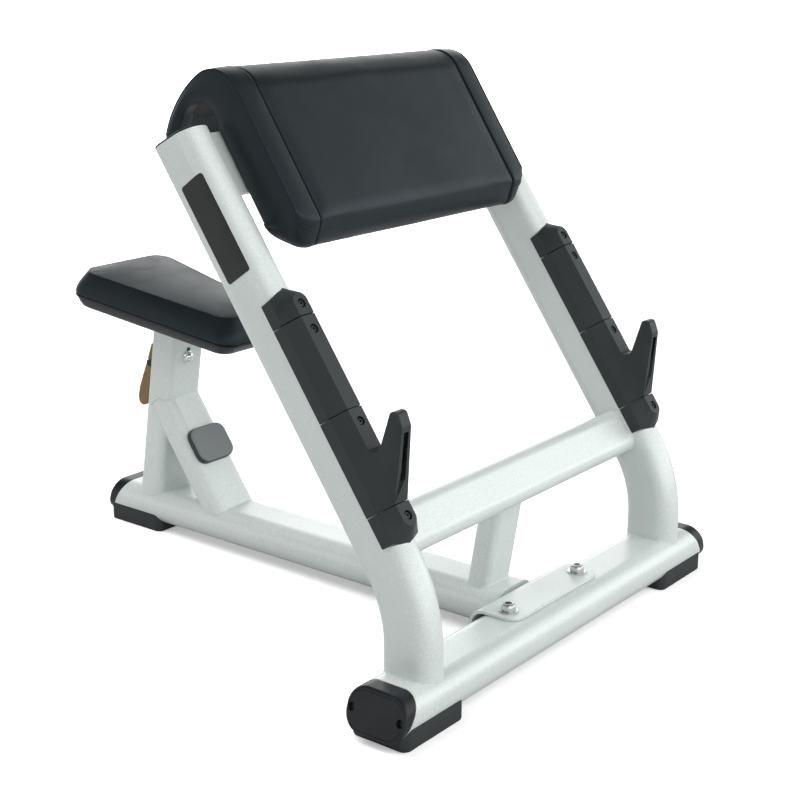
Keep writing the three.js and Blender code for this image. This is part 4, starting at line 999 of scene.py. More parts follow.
@cache
def fasteners_tree() -> Any:
    """One fastener on every point, turned to its axis and by a fixed random angle.

    Returns:
        The group.
    """
    tree, given = new_tree("fasteners", "GeometryNodeTree", {
        "Geometry": "NodeSocketGeometry",
        "Fastener": "NodeSocketObject",
        "Finish": "NodeSocketMaterial",
        "Turn Seed": TURN_SEED,
    })
    axis = tree.out("GeometryNodeInputNamedAttribute", {"Name": "axis"}, data_type="FLOAT_VECTOR")
    aimed = tree.out("FunctionNodeAlignRotationToVector", {"Vector": axis}, axis="Z")
    turn = tree.out("FunctionNodeRandomValue", {2: 0.0, 3: FULL_TURN, "Seed": given["Turn Seed"]},
                    output=1, data_type="FLOAT")
    spin = tree.out("FunctionNodeAxisAngleToRotation", {"Axis": (0.0, 0.0, 1.0), "Angle": turn})
    rotation = tree.out("FunctionNodeRotateRotation", {"Rotation": aimed, "Rotate By": spin},
                        rotation_space="LOCAL")
    shape = tree.out("GeometryNodeObjectInfo", {"Object": given["Fastener"]}, output="Geometry")
    placed = tree.out("GeometryNodeInstanceOnPoints", {
        "Points": given["Geometry"], "Instance": shape, "Rotation": rotation})
    return closed_tree(tree, placed, given)


@cache
def bead_tree() -> Any:
    """A round bead along a line, whose thickness ripples as it goes.

    Returns:
        The group.
    """
    tree, given = new_tree("bead", "GeometryNodeTree", {
        "Geometry": "NodeSocketGeometry",
        "Radius": 0.003,
        "Ripple": 0.0004,
        "Pitch": 0.004,
        "Step": 0.001,
        "Finish": "NodeSocketMaterial",
        "Sides": 10,
    })
    line = tree.out("GeometryNodeMeshToCurve", {"Mesh": given["Geometry"]})
    even = tree.out("GeometryNodeResampleCurve", {"Curve": line, "Length": given["Step"]},
                    mode="LENGTH")
    along = tree.out("GeometryNodeSplineParameter", output="Length")
    turns = tree.maths("DIVIDE", along, given["Pitch"])
    wave = tree.maths("SINE", tree.maths("MULTIPLY", turns, FULL_TURN))
    rise = tree.maths("MULTIPLY", wave, given["Ripple"])
    thick = tree.maths("ADD", given["Radius"], rise)
    section = tree.out("GeometryNodeCurvePrimitiveCircle",
                       {"Resolution": given["Sides"], "Radius": 1.0})
    swept = tree.out("GeometryNodeCurveToMesh", {
        "Curve": even, "Profile Curve": section, "Scale": thick, "Fill Caps": True})
    return closed_tree(tree, tree.out("GeometryNodeSetShadeSmooth", {"Geometry": swept}), given)


def set_fasteners(
    name: str, fastener: Solid, places: Sequence[Spot], finish: Finish,
    replaces: Sequence[str], body: Body = Body.BENCH,
) -> None:
    """Puts one fastener at each place.

    Args:
        name: The piece's name.
        fastener: The fastener, standing on z at the origin, in mm.
        places: Each one's seat and outward axis, in the bench's frame, in mm.
        finish: Its finish.
        replaces: The CAD nodes that it stands for.
        body: The body that carries it.
    """
    shape = fastener.obj.data
    shape.shade_smooth()
    shape.set_sharp_from_angle(angle=SHARP_ANGLE_SMALL)
    shape.transform(Matrix.Scale(MM, 4))
    carrier = carrier_of([([seat], False) for seat, _ in places])
    axes = carrier.data.attributes.new("axis", "FLOAT_VECTOR", "POINT")
    axes.data.foreach_set("vector", [c for _, axis in places for c in axis.normalized()])
    values = {"Fastener": fastener.obj, "Finish": finish.material(), "Turn Seed": TURN_SEED}
    run_tree(fasteners_tree(), carrier, values)
    bpy.data.objects.remove(fastener.obj)
    hand_over(carrier, name, finish, replaces, body)


@dataclass(frozen=True)
class Bead:
    """A bead's radius, the height and pitch of its ripples, and its steps, all in mm."""

    radius: float
    ripple: float
    pitch: float
    step: float


def lay_beads(
    name: str, lines: Sequence[Line], bead: Bead, finish: Finish, body: Body = Body.BENCH
) -> None:
    """Lays a bead along each line.

    Args:
        name: The piece's name.
        lines: Each line's points in the bench's frame, in mm, and whether it closes.
        bead: The bead's sizes.
        finish: Its finish.
        body: The body that carries it.
    """
    values = {size.title(): length * MM for size, length in asdict(bead).items()}
    values["Finish"] = finish.material()
    hand_over(run_tree(bead_tree(), carrier_of(lines), values), name, finish, (), body)


# Tubes


@dataclass(frozen=True)
class RoundTube:
    """A tube with round corners that runs along its own frame's z."""

    width: float
    depth: float
    corner: float
    frame: Matrix

    def outline(self) -> Outline:
        """The section's outline."""
        return rounded_box(self.width, self.depth, self.corner)

    def body(self, low: float, high: float) -> Solid:
        """The tube's stretch from one place on its axis to another."""
        return prism(self.outline(), low, high, self.frame)

    def distance(self, place: Vector) -> float:
        """How far a place lies outside the tube, or inside where it is negative.

        Args:
            place: The place, in mm.

        Returns:
            The distance, in mm.
        """
        here = self.frame.inverted() @ place
        x = abs(here.x) - self.width / 2 + self.corner
        y = abs(here.y) - self.depth / 2 + self.corner
        return math.hypot(max(x, 0.0), max(y, 0.0)) + min(max(x, y), 0.0) - self.corner

    def meets(self, other: "RoundTube", outside: float, inside: float) -> Line:
        """The closed line where this tube runs into another.

        Args:
            other: The tube that it runs into.
            outside: A place on this tube's axis that is outside the other all round.
            inside: A place that is inside it all round.

        Returns:
            The line, in the bench's frame.
        """
        line: Ring = []
        outline = self.outline()
        for x, y in resampled([*outline, outline[0]], MEETING_POINTS + 1)[:-1]:
            near, far = outside, inside
            for _ in range(HALVINGS):
                middle = (near + far) / 2
                if other.distance(self.frame @ Vector((x, y, middle))) > 0:
                    near = middle
                else:
                    far = middle
            line.append(self.frame @ Vector((x, y, near)))
        return line, True


MEETING_POINTS = 96
HALVINGS = 24
BASE_CENTRE = Matrix.Translation((0.0, 0.0, 49.0))
BASE_SECTION = (110.0, 68.0, 31.0)
UPRIGHT_SECTION = (61.0, 96.0, 30.49)
BEAM = RoundTube(*BASE_SECTION, BASE_CENTRE @ ACROSS)
SPINE = RoundTube(*BASE_SECTION, BASE_CENTRE @ BACKWARDS)
CROSS = RoundTube(50.0, 80.0, 20.0, RACK_FRAME @ Matrix.Translation((0.0, 7.0, 105.0)) @ ACROSS)
STRUT = RoundTube(77.0, 44.0, 15.0, STRUT_FRAME)
POST = RoundTube(94.0, 60.0, 18.0, POST_FRAME)
BRACE = RoundTube(96.0, 61.0, 22.0, BRACE_FRAME)


def upright_foot(side: Side) -> RoundTube:
    """The stretch of an upright that stands on the beam, before its bend."""
    place = RACK_FRAME.translation + Vector((side.value * UPRIGHT_ACROSS, 0.0, 0.0))
    return RoundTube(*UPRIGHT_SECTION, Matrix.Translation(place))


def upright_rise(side: Side) -> RoundTube:
    """The stretch of an upright that leans back, after its bend."""
    return RoundTube(*UPRIGHT_SECTION, rack_frame(side))


# Base


@dataclass
class Base:
    """The front beam, the spine, their caps and feet, and the plate that joins them."""

    beam_half_length: float = 434.0
    spine_start: float = 66.0
    spine_end: float = 999.0
    end_rake: float = 31.0
    cap_depth: float = 20.3
    cap_rake: float = 19.0
    cap_groove: float = 0.9
    pin_across: float = 90.0
    pin_width: float = 12.0
    pin_height: float = 13.0
    pin_depth: float = 6.0
    foot_length: float = 146.0
    rear_foot_length: float = 144.0
    foot_width: float = 106.0
    foot_corner: float = 14.0
    foot_top: float = 36.0
    foot_across: float = 377.0
    rear_foot_back: float = 950.0
    plate_half_width: float = 130.0
    plate_thickness: float = 5.5
    plate_front: float = 24.0
    plate_flat: float = 38.0
    plate_bend: float = 29.0
    plate_skirt: float = 43.0
    plate_corner: float = 25.0
    plate_edge: float = 0.9
    bolt_across: float = 104.0
    bolt_back: float = 7.0
    bolt_head: float = 24.0
    bolt_head_height: float = 11.0
    washer_width: float = 33.0
    washer_thickness: float = 2.5
    washer_edge: float = 0.4
    bolt_socket: float = 6.5
    bolt_socket_depth: float = 6.0

    @property
    def tube_centre(self) -> float:
        """The height of the base tubes' axes."""
        return BASE_CENTRE.translation.z

    @property
    def plate_top(self) -> float:
        """The height of the joining plate's top."""
        return self.tube_centre + BEAM.depth / 2 + GAP + self.plate_thickness

    def build(self) -> None:
        """Makes every piece of the base."""
        half, rake, outline = self.beam_half_length, self.end_rake, BEAM.outline()
        beam = loft([ring(outline, sign * half, BEAM.frame, sign * rake) for sign in (-1, 1)])
        beam.finish("front_beam_tube", SILVER, ["front_beam"])
        spine = loft([ring(outline, self.spine_start, SPINE.frame),
                      ring(outline, self.spine_end, SPINE.frame, rake)])
        spine.finish("spine_tube_body", SILVER, ["spine_tube"])
        self.build_caps()
        self.build_feet()
        self.build_plate()
        self.build_plate_bolts()

    def cap(self, matrix: Matrix) -> Solid:
        """An end cap on a tube's raked end: a shadow groove, a wedge-shaped band and a flat face.

        Args:
            matrix: A frame whose z points out of the tube and whose y points up, at its end.

        Returns:
            The cap.
        """
        outline, deep = BEAM.outline(), self.cap_depth
        rim = [(-5.0, -12.0), (-5.0, 0.0), (-self.cap_groove, 0.0), (-self.cap_groove, 0.9),
               (-0.1, 1.7), (0.0, 2.8)]
        face = [(0.0, -3.2), (-0.3, -1.9), (-0.9, -0.9), (-1.7, -0.25), (-2.6, 0.0), (-4.2, 0.0),
                (-4.7, -0.7), (-5.9, -0.7), (-6.4, -0.1), (-8.0, -0.1)]
        rings = [ring(offset(outline, grow), z, matrix, self.end_rake) for grow, z in rim]
        rings += [ring(offset(outline, grow), deep + z, matrix, self.cap_rake) for grow, z in face]
        solid = loft(rings)
        beyond = deep + math.tan(math.radians(self.cap_rake)) * self.pin_height
        pin = rounded_box(self.pin_width, self.pin_height, self.pin_width / 2 - 0.01, 8)
        for sign in (-1, 1):
            place = matrix @ Matrix.Translation((sign * self.pin_across / 2, 0.0, 0.0))
            solid.cut(loft([ring(pin, z, place, self.cap_rake) for z in (deep - self.pin_depth, beyond)]))
        return solid

    def build_caps(self) -> None:
        """Caps both ends of the beam and the rear end of the spine."""
        up = Vector((0.0, 0.0, 1.0))
        for name, node, x, y in (
            ("left_end_cap", "left_beam_cap", -self.beam_half_length, 0.0),
            ("right_end_cap", "right_beam_cap", self.beam_half_length, 0.0),
            ("rear_end_cap", "spine_cap", 0.0, self.spine_end),
        ):
            out = Vector((x, y, 0.0)).normalized()
            turn = Matrix((up.cross(out), up, out)).transposed().to_4x4()
            place = Matrix.Translation((x, y, self.tube_centre)) @ turn
            self.cap(place).finish(name, CAP_BLACK, [node])

    def foot(self, length: float, width: float, x: float, y: float) -> Solid:
        """A rubber foot with a rounded sole, which hugs the underside of its tube.

        Args:
            length: Its length in x.
            width: Its width in y.
            x: Its middle in x.
            y: Its middle in y.

        Returns:
            The foot.
        """
        outline = rounded_box(length, width, self.foot_corner, 10)
        place = Matrix.Translation((x, y, 0.0))
        stations = [(-3.4, 0.0), (-1.9, 0.3), (-0.8, 1.1), (-0.2, 2.2), (0.0, 3.6),
                    (0.0, self.foot_top - 1.0), (-0.3, self.foot_top - 0.3), (-1.0, self.foot_top)]
        return loft([ring(offset(outline, grow), z, place) for grow, z in stations])

    def build_feet(self) -> None:
        """Two feet under the beam and one under the spine's end."""
        for side in Side:
            foot = self.foot(self.foot_length, self.foot_width, side.value * self.foot_across, 0.0)
            foot.finish(f"{side.word}_rubber_foot", FOOT_GREY, [f"{side.word}_foot"])
        rear = self.foot(self.foot_width, self.rear_foot_length, 0.0, self.rear_foot_back)
        rear.finish("rear_rubber_foot", FOOT_GREY, ["rear_foot"])

    def build_plate(self) -> None:
        """The plate over the beam, bent down behind it, with rounded front corners."""
        bottom, top = self.plate_top - self.plate_thickness, self.plate_top
        bend_height = top - self.plate_bend
        skirt = bend_height - self.plate_skirt
        back = self.plate_flat + self.plate_bend
        inner = self.plate_bend - self.plate_thickness
        profile = tidy([
            (-self.plate_front, bottom),
            *arc(self.plate_flat, bend_height, inner, QUARTER, 0.0, 14),
            (back - self.plate_thickness, skirt),
            (back, skirt),
            *arc(self.plate_flat, bend_height, self.plate_bend, 0.0, QUARTER, 14),
            (-self.plate_front, top),
        ])
        width, far = self.plate_half_width, back + CUT_OVERRUN
        plan = filleted([
            (-width, -self.plate_front, self.plate_corner),
            (width, -self.plate_front, self.plate_corner),
            (width, far, 0.0),
            (-width, far, 0.0),
        ], 14)
        plate = across(profile, -width - 1, width + 1)
        plate.boolean(prism(plan, 0.0, top + CUT_OVERRUN), "INTERSECT")
        plate.bevel(self.plate_edge).finish("joining_plate", SILVER, ["spine_bracket"])

    def build_plate_bolts(self) -> None:
        """Button-head bolts with washers, one at each end of the plate."""
        places = [
            spot(BENCH_FRAME, (side.value * self.bolt_across, self.bolt_back, self.plate_top), (0, 0, 1))
            for side in Side
        ]
        top = self.washer_thickness + GAP
        outer, edge = self.washer_width / 2, self.washer_edge
        washer = turned([(0.0, 0.0), (outer - edge, 0.0), (outer, edge), (outer, top - 0.5),
                         (outer - 0.5, top), (0.0, top)], 48)
        names = [f"{side.word}_bracket_washer" for side in Side]
        set_fasteners("plate_washers", washer, places, ZINC, names)
        bolt = button_head(self.bolt_head / 2, self.bolt_head_height, self.bolt_socket,
                           self.bolt_socket_depth, top)
        names = [f"{side.word}_bracket_bolt" for side in Side]
        set_fasteners("plate_bolts", bolt, places, ZINC, names)


def button_head(
    radius: float, height: float, socket: float, socket_depth: float, seat: float = 0.0
) -> Solid:
    """A domed screw head with a hexagon socket, its underside at the seat.

    Args:
        radius: The head's radius.
        height: The head's height.
        socket: The socket's radius over its corners.
        socket_depth: How deep the socket is.
        seat: How far above the origin the head's underside lies.

    Returns:
        The head, standing on z.
    """
    land = socket * 1.22
    rim = height * 0.28
    shank = radius * 0.6
    crown = height - rim
    steps = 8
    profile: Outline = [(0.0, seat - 1.0), (shank, seat - 1.0), (shank, seat),
                        (radius - 0.3, seat), (radius, seat + 0.3), (radius, seat + rim)]
    for i in range(1, steps + 1):
        angle = QUARTER * i / steps
        profile.append((land + (radius - land) * math.cos(angle),
                        seat + rim + crown * math.sin(angle)))
    profile += [(socket + 0.25, seat + height), (0.0, seat + height)]
    top = seat + height
    return turned(profile, 48).cut(prism(hexagon(socket), top - socket_depth, top + CUT_OVERRUN))


# Rack


@dataclass
class Rack:
    """The two leaning uprights, with the moulded guards and bar hooks on their fronts."""

    bend_radius: float = 226.0
    lean: float = 34.85
    length: float = 795.0
    top_rake: float = 7.0
    start: float = -142.0
    side_reach: float = 31.5
    wrap: float = 21.0
    side_front: float = 43.0
    front: float = 70.0
    strip_half_width: float = 15.0
    base_front: float = 47.0
    seam: float = 1.2
    seams: tuple[float, float, float] = (449.0, 294.0, 139.0)
    top: float = 505.0
    bottom: float = 80.0
    top_strip_drop: float = 19.0
    top_side_drop: float = 14.0
    low_strip_drop: float = 21.0
    low_side_drop: float = 10.0
    screws: tuple[tuple[str, float], ...] = (
        ("top", 468.0), ("middle", 425.5), ("hook", 272.0), ("low", 118.0)
    )
    screw_head: tuple[float, float, float, float] = (6.0, 4.3, 3.0, 2.5)
    recess: float = 14.4
    recess_depth: float = 6.0
    edge: float = 0.8
    bend_steps: int = 18
    tip_steps: int = 16
    hook_root: float = 69.0
    hook_crotch: float = 203.4
    hook_crotch_radius: float = 14.0
    hook_tip: tuple[float, float] = (138.0, 259.0)
    hook_tip_front: tuple[float, float] = (149.0, 251.0)
    hook_nose: tuple[float, float] = (143.5, 229.0)
    hook_tip_half_width: float = 10.0
    slot_width: float = 11.0
    slot_depth: float = 10.0
    slot_low: float = 34.0
    slot_high: float = 108.0
    patch_low: float = 548.0
    patch_high: float = 715.0
    patch_back: float = 18.0
    patch_front: float = -32.0
    patch_corner: float = 5.0
    patch_lift: float = 0.45
    patch_sink: float = -0.6
    patch_points: int = 40

    def build(self) -> None:
        """Makes both uprights and all that they carry."""
        for side in Side:
            self.build_upright(side)
            self.build_guards(side)
        self.build_screws()
        self.build_patch()

    def build_upright(self, side: Side) -> None:
        """One upright, bent once above the beam, with the cap in its top.

        Args:
            side: Which upright.
        """
        tube = upright_rise(side)
        outline, foot = tube.outline(), upright_foot(side).frame
        lean = math.radians(self.lean)
        tangent = self.bend_radius * math.tan(lean / 2)
        out = Matrix.Translation((0.0, self.bend_radius, -tangent))
        back = Matrix.Translation((0.0, -self.bend_radius, 0.0))
        rings = [ring(outline, self.start, foot)]
        for i in range(self.bend_steps + 1):
            turn = Matrix.Rotation(-lean * i / self.bend_steps, 4, "X")
            rings.append(ring(outline, 0.0, foot @ (out @ turn @ back)))
        name = f"{side.word}_upright"
        drop = math.tan(math.radians(self.top_rake)) * tube.depth / 2
        rings.append(ring(outline, self.length - drop, tube.frame, -self.top_rake))
        loft(rings).finish(f"{name}_tube", SILVER, [name])
        stations = [(-4.0, -8.0), (-4.0, 0.0), (-0.5, 0.0), (-0.5, 0.4), (0.0, 0.6), (0.0, 1.9),
                    (-0.3, 2.6), (-1.0, 3.1), (-2.2, 3.3)]
        place = tube.frame @ Matrix.Translation((0.0, 0.0, self.length - drop))
        cap = loft([ring(offset(outline, grow), z, place, -self.top_rake) for grow, z in stations])
        cap.finish(f"{name}_plug", CAP_BLACK, [f"{name}_cap"])

    def square_end(self, height: float) -> Ring:
        """The six corners of a guard's section at a height."""
        corners = [(self.strip_half_width, self.front), (self.side_reach, self.side_front),
                   (self.side_reach, self.wrap)]
        return [Vector((sign * x, -f, height)) for sign in (-1, 1) for x, f in corners]

    def pointed_end(self, height: float, way: int, strip_drop: float, side_drop: float) -> Ring:
        """The corners of a guard's end: a round strip end that falls to a point on the tube.

        Args:
            height: The height of the point.
            way: 1 for an upper end, -1 for a lower one.
            strip_drop: How far the strip stops short of the point.
            side_drop: How far the sides stop short of it.

        Returns:
            The corners.
        """
        radius = self.strip_half_width
        centre = height - way * (strip_drop + radius)
        points = [Vector((x, -self.front, centre + way * z))
                  for x, z in arc(0.0, 0.0, radius, 0.0, math.pi, self.tip_steps)]
        side = height - way * side_drop
        for sign in (-1, 1):
            points.append(Vector((sign * self.side_reach, -self.side_front, side)))
            points.append(Vector((sign * self.side_reach, -self.wrap, side)))
        points.append(Vector((0.0, -self.base_front, height)))
        return points

    def recessed(self, guard: Solid, side: Side, screw: str) -> Solid:
        """Sinks a screw's recess into a guard and rounds the guard's edges.

        Args:
            guard: The guard.
            side: Which upright.
            screw: The screw's name.

        Returns:
            The guard.
        """
        place = facing(rack_frame(side), -self.front, dict(self.screws)[screw])
        guard.cut(rod(self.recess / 2, -self.recess_depth, CUT_OVERRUN, place, 36))
        return guard.bevel(self.edge, 3)

    def build_guards(self, side: Side) -> None:
        """The four mouldings on one upright.

        Args:
            side: Which upright.
        """
        high, middle, low = self.seams
        half = self.seam / 2
        spans = {
            "top": self.square_end(high + half)
            + self.pointed_end(self.top, 1, self.top_strip_drop, self.top_side_drop),
            "middle": self.square_end(middle + half) + self.square_end(high - half),
            "low": self.square_end(low - half)
            + self.pointed_end(self.bottom, -1, self.low_strip_drop, self.low_side_drop),
        }
        for word, corners in spans.items():
            name = f"{side.word}_{word}_guard"
            guard = self.recessed(hull(corners, rack_frame(side)), side, word)
            guard.finish(f"{name}_cover", GUARD_GREY, [name])
        body = hull(self.square_end(low + half) + self.square_end(middle - half), rack_frame(side))
        body.join(self.fin(side)).cut(self.slot(side))
        name = f"{side.word}_bar_hook"
        self.recessed(body, side, "hook").finish(f"{name}_moulding", GUARD_GREY, [name])

    def fin(self, side: Side) -> Solid:
        """The hook's fin, thinner towards its tip.

        Args:
            side: Which upright.

        Returns:
            The fin.
        """
        start = self.seams[2] + self.seam / 2
        above = self.hook_crotch + 2 * self.hook_crotch_radius
        inner = (self.hook_root + upright_rise(side).depth / 2) / 2
        outline = filleted([
            (inner, start, 0.0),
            (self.hook_root, start, 0.0),
            (*self.hook_nose, 12.0),
            (*self.hook_tip_front, 7.0),
            (*self.hook_tip, 7.0),
            (self.hook_root, self.hook_crotch, self.hook_crotch_radius),
            (self.hook_root, above, 0.0),
            (inner, above, 0.0),
        ], 10)
        half = self.strip_half_width
        taper = (half - self.hook_tip_half_width) / (self.hook_tip_front[0] - self.front)
        return loft([
            [rack_frame(side) @ Vector((sign * (half - (f - self.front) * taper), -f, s))
             for f, s in outline]
            for sign in (-1, 1)
        ])

    def slot(self, side: Side) -> Solid:
        """The cutter for the slot in the fin's front edge.

        Args:
            side: Which upright.

        Returns:
            The cutter.
        """
        start = Vector((self.hook_root, self.seams[2] + self.seam / 2))
        edge = (Vector(self.hook_nose) - start).normalized()
        inwards = Vector((-edge.y, edge.x))
        outline = [tuple(start + edge * up + inwards * deep) for up, deep in (
            (self.slot_low, -CUT_OVERRUN), (self.slot_high, -CUT_OVERRUN),
            (self.slot_high, self.slot_depth), (self.slot_low, self.slot_depth))]
        half = self.slot_width / 2
        rings = [[rack_frame(side) @ Vector((x, -f, s)) for f, s in outline] for x in (-half, half)]
        return loft(rings)

    def build_screws(self) -> None:
        """The socket screws in the guards' recesses."""
        seat = -self.front + self.recess_depth
        places = [spot(rack_frame(side), (0.0, seat, height), (0.0, -1.0, 0.0))
                  for side in Side for _, height in self.screws]
        names = [f"{side.word}_{word}_guard_screw" for side in Side for word, _ in self.screws]
        screw = button_head(*self.screw_head)
        set_fasteners("guard_screws", screw, places, DARK_STEEL, names)

    def build_patch(self) -> None:
        """A plain dark patch on the left upright's outer face, bent round to its front."""
        tube = upright_rise(Side.LEFT)
        reach = tube.width / 2
        flat = tube.depth / 2 - reach
        bend_end = math.asin((-self.patch_front - flat) / reach)
        around = arc(0.0, -flat, reach, math.pi, math.pi + bend_end, 10)
        line = resampled([(-reach, self.patch_back), (-reach, 0.0), *around], self.patch_points)
        corner, span = self.patch_corner, self.patch_high - self.patch_low
        heights = [0.0, 0.3, 1.0, 2.2, 3.6, corner]
        rings: list[Ring] = []
        for station in [*heights, span / 2, *[span - h for h in reversed(heights)]]:
            near = min(station, span - station, corner)
            short = corner - math.sqrt(max(corner**2 - (corner - near) ** 2, 0.0))
            kept = resampled(line, self.patch_points, short)
            outer = [self.lifted(p, flat, self.patch_lift) for p in kept]
            under = [self.lifted(p, flat, self.patch_sink) for p in kept]
            rings.append(ring([*outer, *reversed(under)], self.patch_low + station, tube.frame))
        loft(rings).finish("side_patch", PATCH_BLACK)

    @staticmethod
    def lifted(p: tuple[float, float], flat: float, height: float) -> tuple[float, float]:
        """A place on the upright's left surface, raised off it.

        Args:
            p: The place on the section.
            flat: Where the bend starts.
            height: How far it is raised.

        Returns:
            The raised place.
        """
        x, y = p
        if y > -flat:
            return x - height, y
        out = Vector((x, y + flat)).normalized() * height
        return x + out.x, y + out.y


# Frame


@dataclass
class Frame:
    """The cross-member, centre strut, seat post and brace, and the welds that join them."""

    strut_start: float = -20.0
    strut_length: float = 205.0
    post_length: float = 335.0
    brace_length: float = 236.0
    weld: Bead = Bead(1.5, 0.12, 4.2, 1.4)
    skirt_back: float = 67.0
    badge_width: float = 90.0
    badge_height: float = 72.0
    badge_thickness: float = 14.0
    badge_plate: float = 4.5
    badge_corner: float = 20.0
    badge_up: float = 113.5
    bolt_height: float = 287.0
    bolt_radius: float = 13.0
    bolt_flange: float = 3.0
    bolt_dome: float = 11.0
    stud_height: float = 302.0
    cross_end: float = 15.0

    def build(self) -> None:
        """Makes the upper frame's tubes and trim."""
        reach = UPRIGHT_ACROSS - self.cross_end
        for tube, low, high, name, node in (
            (CROSS, -reach, reach, "cross_tube", "cross_member"),
            (STRUT, self.strut_start, self.strut_length, "centre_strut_tube", "centre_strut"),
            (POST, self.strut_start, self.post_length, "seat_post_tube", "seat_post"),
            (BRACE, self.strut_start, self.brace_length, "seat_brace_tube", "seat_brace"),
        ):
            tube.body(low, high).finish(name, SILVER, [node])
        self.build_badge()
        self.build_bolt()
        self.build_welds()

    def build_badge(self) -> None:
        """The plain thick plate on the front of the brace, on its dark block."""
        outline = rounded_box(self.badge_width, self.badge_height, self.badge_corner)
        top = self.badge_thickness
        seam = top - self.badge_plate
        place = facing(BRACE_FRAME, -BRACE.depth / 2, self.badge_up)
        body = [(-1.0, -1.5), (0.0, 0.0), (0.0, seam - 1.2), (-0.5, seam - 0.3), (-1.6, seam)]
        face = [(-3.0, seam - 0.5), (-1.3, seam), (-1.3, top - 1.9), (-1.8, top - 0.9),
                (-2.6, top - 0.3), (-3.8, top), (-8.0, top)]
        block = loft([ring(offset(outline, grow), z, place) for grow, z in body])
        block.finish("brace_cover_block", GUARD_GREY)
        badge = loft([ring(offset(outline, grow), z, place) for grow, z in face])
        badge.finish("brace_cover_plate", BADGE_GREY, ["brace_badge"])

    def build_bolt(self) -> None:
        """The domed guide bolt on the front of the post, and the small stud above it."""
        radius, flange, height = self.bolt_radius, self.bolt_flange, self.bolt_dome
        steps = 8
        profile = [(0.0, -1.0), (radius - 0.4, -1.0), (radius, 0.4), (radius, flange - 0.7),
                   (radius - 0.7, flange), (radius * 0.84, flange + 0.1)]
        foot = flange + 0.3
        profile += [(radius * 0.82 * math.cos(QUARTER * i / steps),
                     foot + (height - flange - 0.3) * math.sin(QUARTER * i / steps))
                    for i in range(steps)]
        bolt = turned([*profile, (0.0, height)], 56)
        stud = turned([(0.0, -1.0), (4.0, -1.0), (4.0, 1.2), (3.4, 2.0), (2.0, 2.4), (0.0, 2.5)], 28)
        face = -POST.depth / 2
        for name, solid, up, finish, nodes in (
            ("post_guide_bolt", bolt, self.bolt_height, CHROME, ["guide_bolt"]),
            ("post_stud", stud, self.stud_height, DARK_STEEL, []),
        ):
            place = spot(POST_FRAME, (0.0, face, up), (0.0, -1.0, 0.0))
            set_fasteners(name, solid, [place], finish, nodes)

    def build_welds(self) -> None:
        """The beads where the tubes meet."""
        lines = [STRUT.meets(SPINE, 60.0, -12.0), STRUT.meets(CROSS, 60.0, self.strut_length),
                 POST.meets(SPINE, 60.0, -12.0), BRACE.meets(SPINE, 90.0, -30.0),
                 BRACE.meets(POST, 60.0, self.brace_length)]
        beam_depth = BASE_CENTRE.translation.z - RACK_FRAME.translation.z
        for side in Side:
            lines.append(upright_foot(side).meets(BEAM, -40.0, beam_depth))
            lines.append(CROSS.meets(upright_rise(side), 0.0, side.value * UPRIGHT_ACROSS))
        lines.append((ring(SPINE.outline(), self.skirt_back, SPINE.frame), True))
        lay_beads("frame_welds", lines, self.weld, SILVER)


# Upholstery


CLOTH_STEPS = 20


def swell(obj: bpy.types.Object, held: Sequence[float], pressure: float, most: float) -> None:
    """Fills a cushion by a cloth simulation and keeps its shape.

    Args:
        obj: The cushion, in metres.
        held: How firmly each point stays, from 0 to 1.
        pressure: The filling's pressure.
        most: The furthest that a point may move, in mm.
    """
    group = obj.vertex_groups.new(name="held")
    for index, weight in enumerate(held):
        group.add([index], weight, "REPLACE")
    cloth = obj.modifiers.new("filling", "CLOTH")
    cloth.settings.quality = 6
    cloth.settings.mass = 0.2
    cloth.settings.bending_stiffness = 1.5
    cloth.settings.use_pressure = True
    cloth.settings.uniform_pressure_force = pressure
    cloth.settings.effector_weights.gravity = 0.0
    cloth.settings.vertex_group_mass = group.name
    cloth.point_cache.frame_start = 1
    cloth.point_cache.frame_end = CLOTH_STEPS
    rest = [v.co.copy() for v in obj.data.vertices]
    scene = bpy.context.scene
    for step in range(1, CLOTH_STEPS + 1):
        scene.frame_set(step)
    moved = obj.evaluated_get(bpy.context.evaluated_depsgraph_get()).data.vertices
    shifts = [moved[i].co - start for i, start in enumerate(rest)]
    obj.modifiers.clear()
    scene.frame_set(1)
    for vertex, start, shift, weight in zip(obj.data.vertices, rest, shifts, held):
        reach = most * MM * (1.0 - weight)
        if shift.length > reach:
            shift.length = max(reach, 1e-9)
        vertex.co = start + shift
    obj.vertex_groups.clear()
    LOG.info("%s: swelled by up to %.1f mm", obj.name, max(s.length for s in shifts) / MM)


def upholster(
    name: str, solid: Solid, held: Sequence[float], pressure: float, most: float,
    replaces: Sequence[str], body: Body = Body.BENCH,
) -> None:
    """Fills a cushion, smooths it with one subdivision and puts it on its body.

    Args:
        name: The piece's name.
        solid: The cushion, in mm.
        held: How firmly each point stays, from 0 to 1.
        pressure: The filling's pressure.
        most: The furthest that a point may move, in mm.
        replaces: The CAD nodes that it stands for.
        body: The body that it rides on.
    """
    obj = solid.obj
    obj.data.transform(TO_ROW)
    swell(obj, held, pressure, most)
    obj.data.shade_smooth()
    modifier = obj.modifiers.new("soft", "SUBSURF")
    modifier.levels = 1
    modifier.render_levels = 1
    bake(obj)
    obj.data.shade_smooth()
    obj.data.set_sharp_from_angle(angle=SHARP_ANGLE_SOFT)
    hand_over(obj, name, PAD_VINYL, replaces, body)


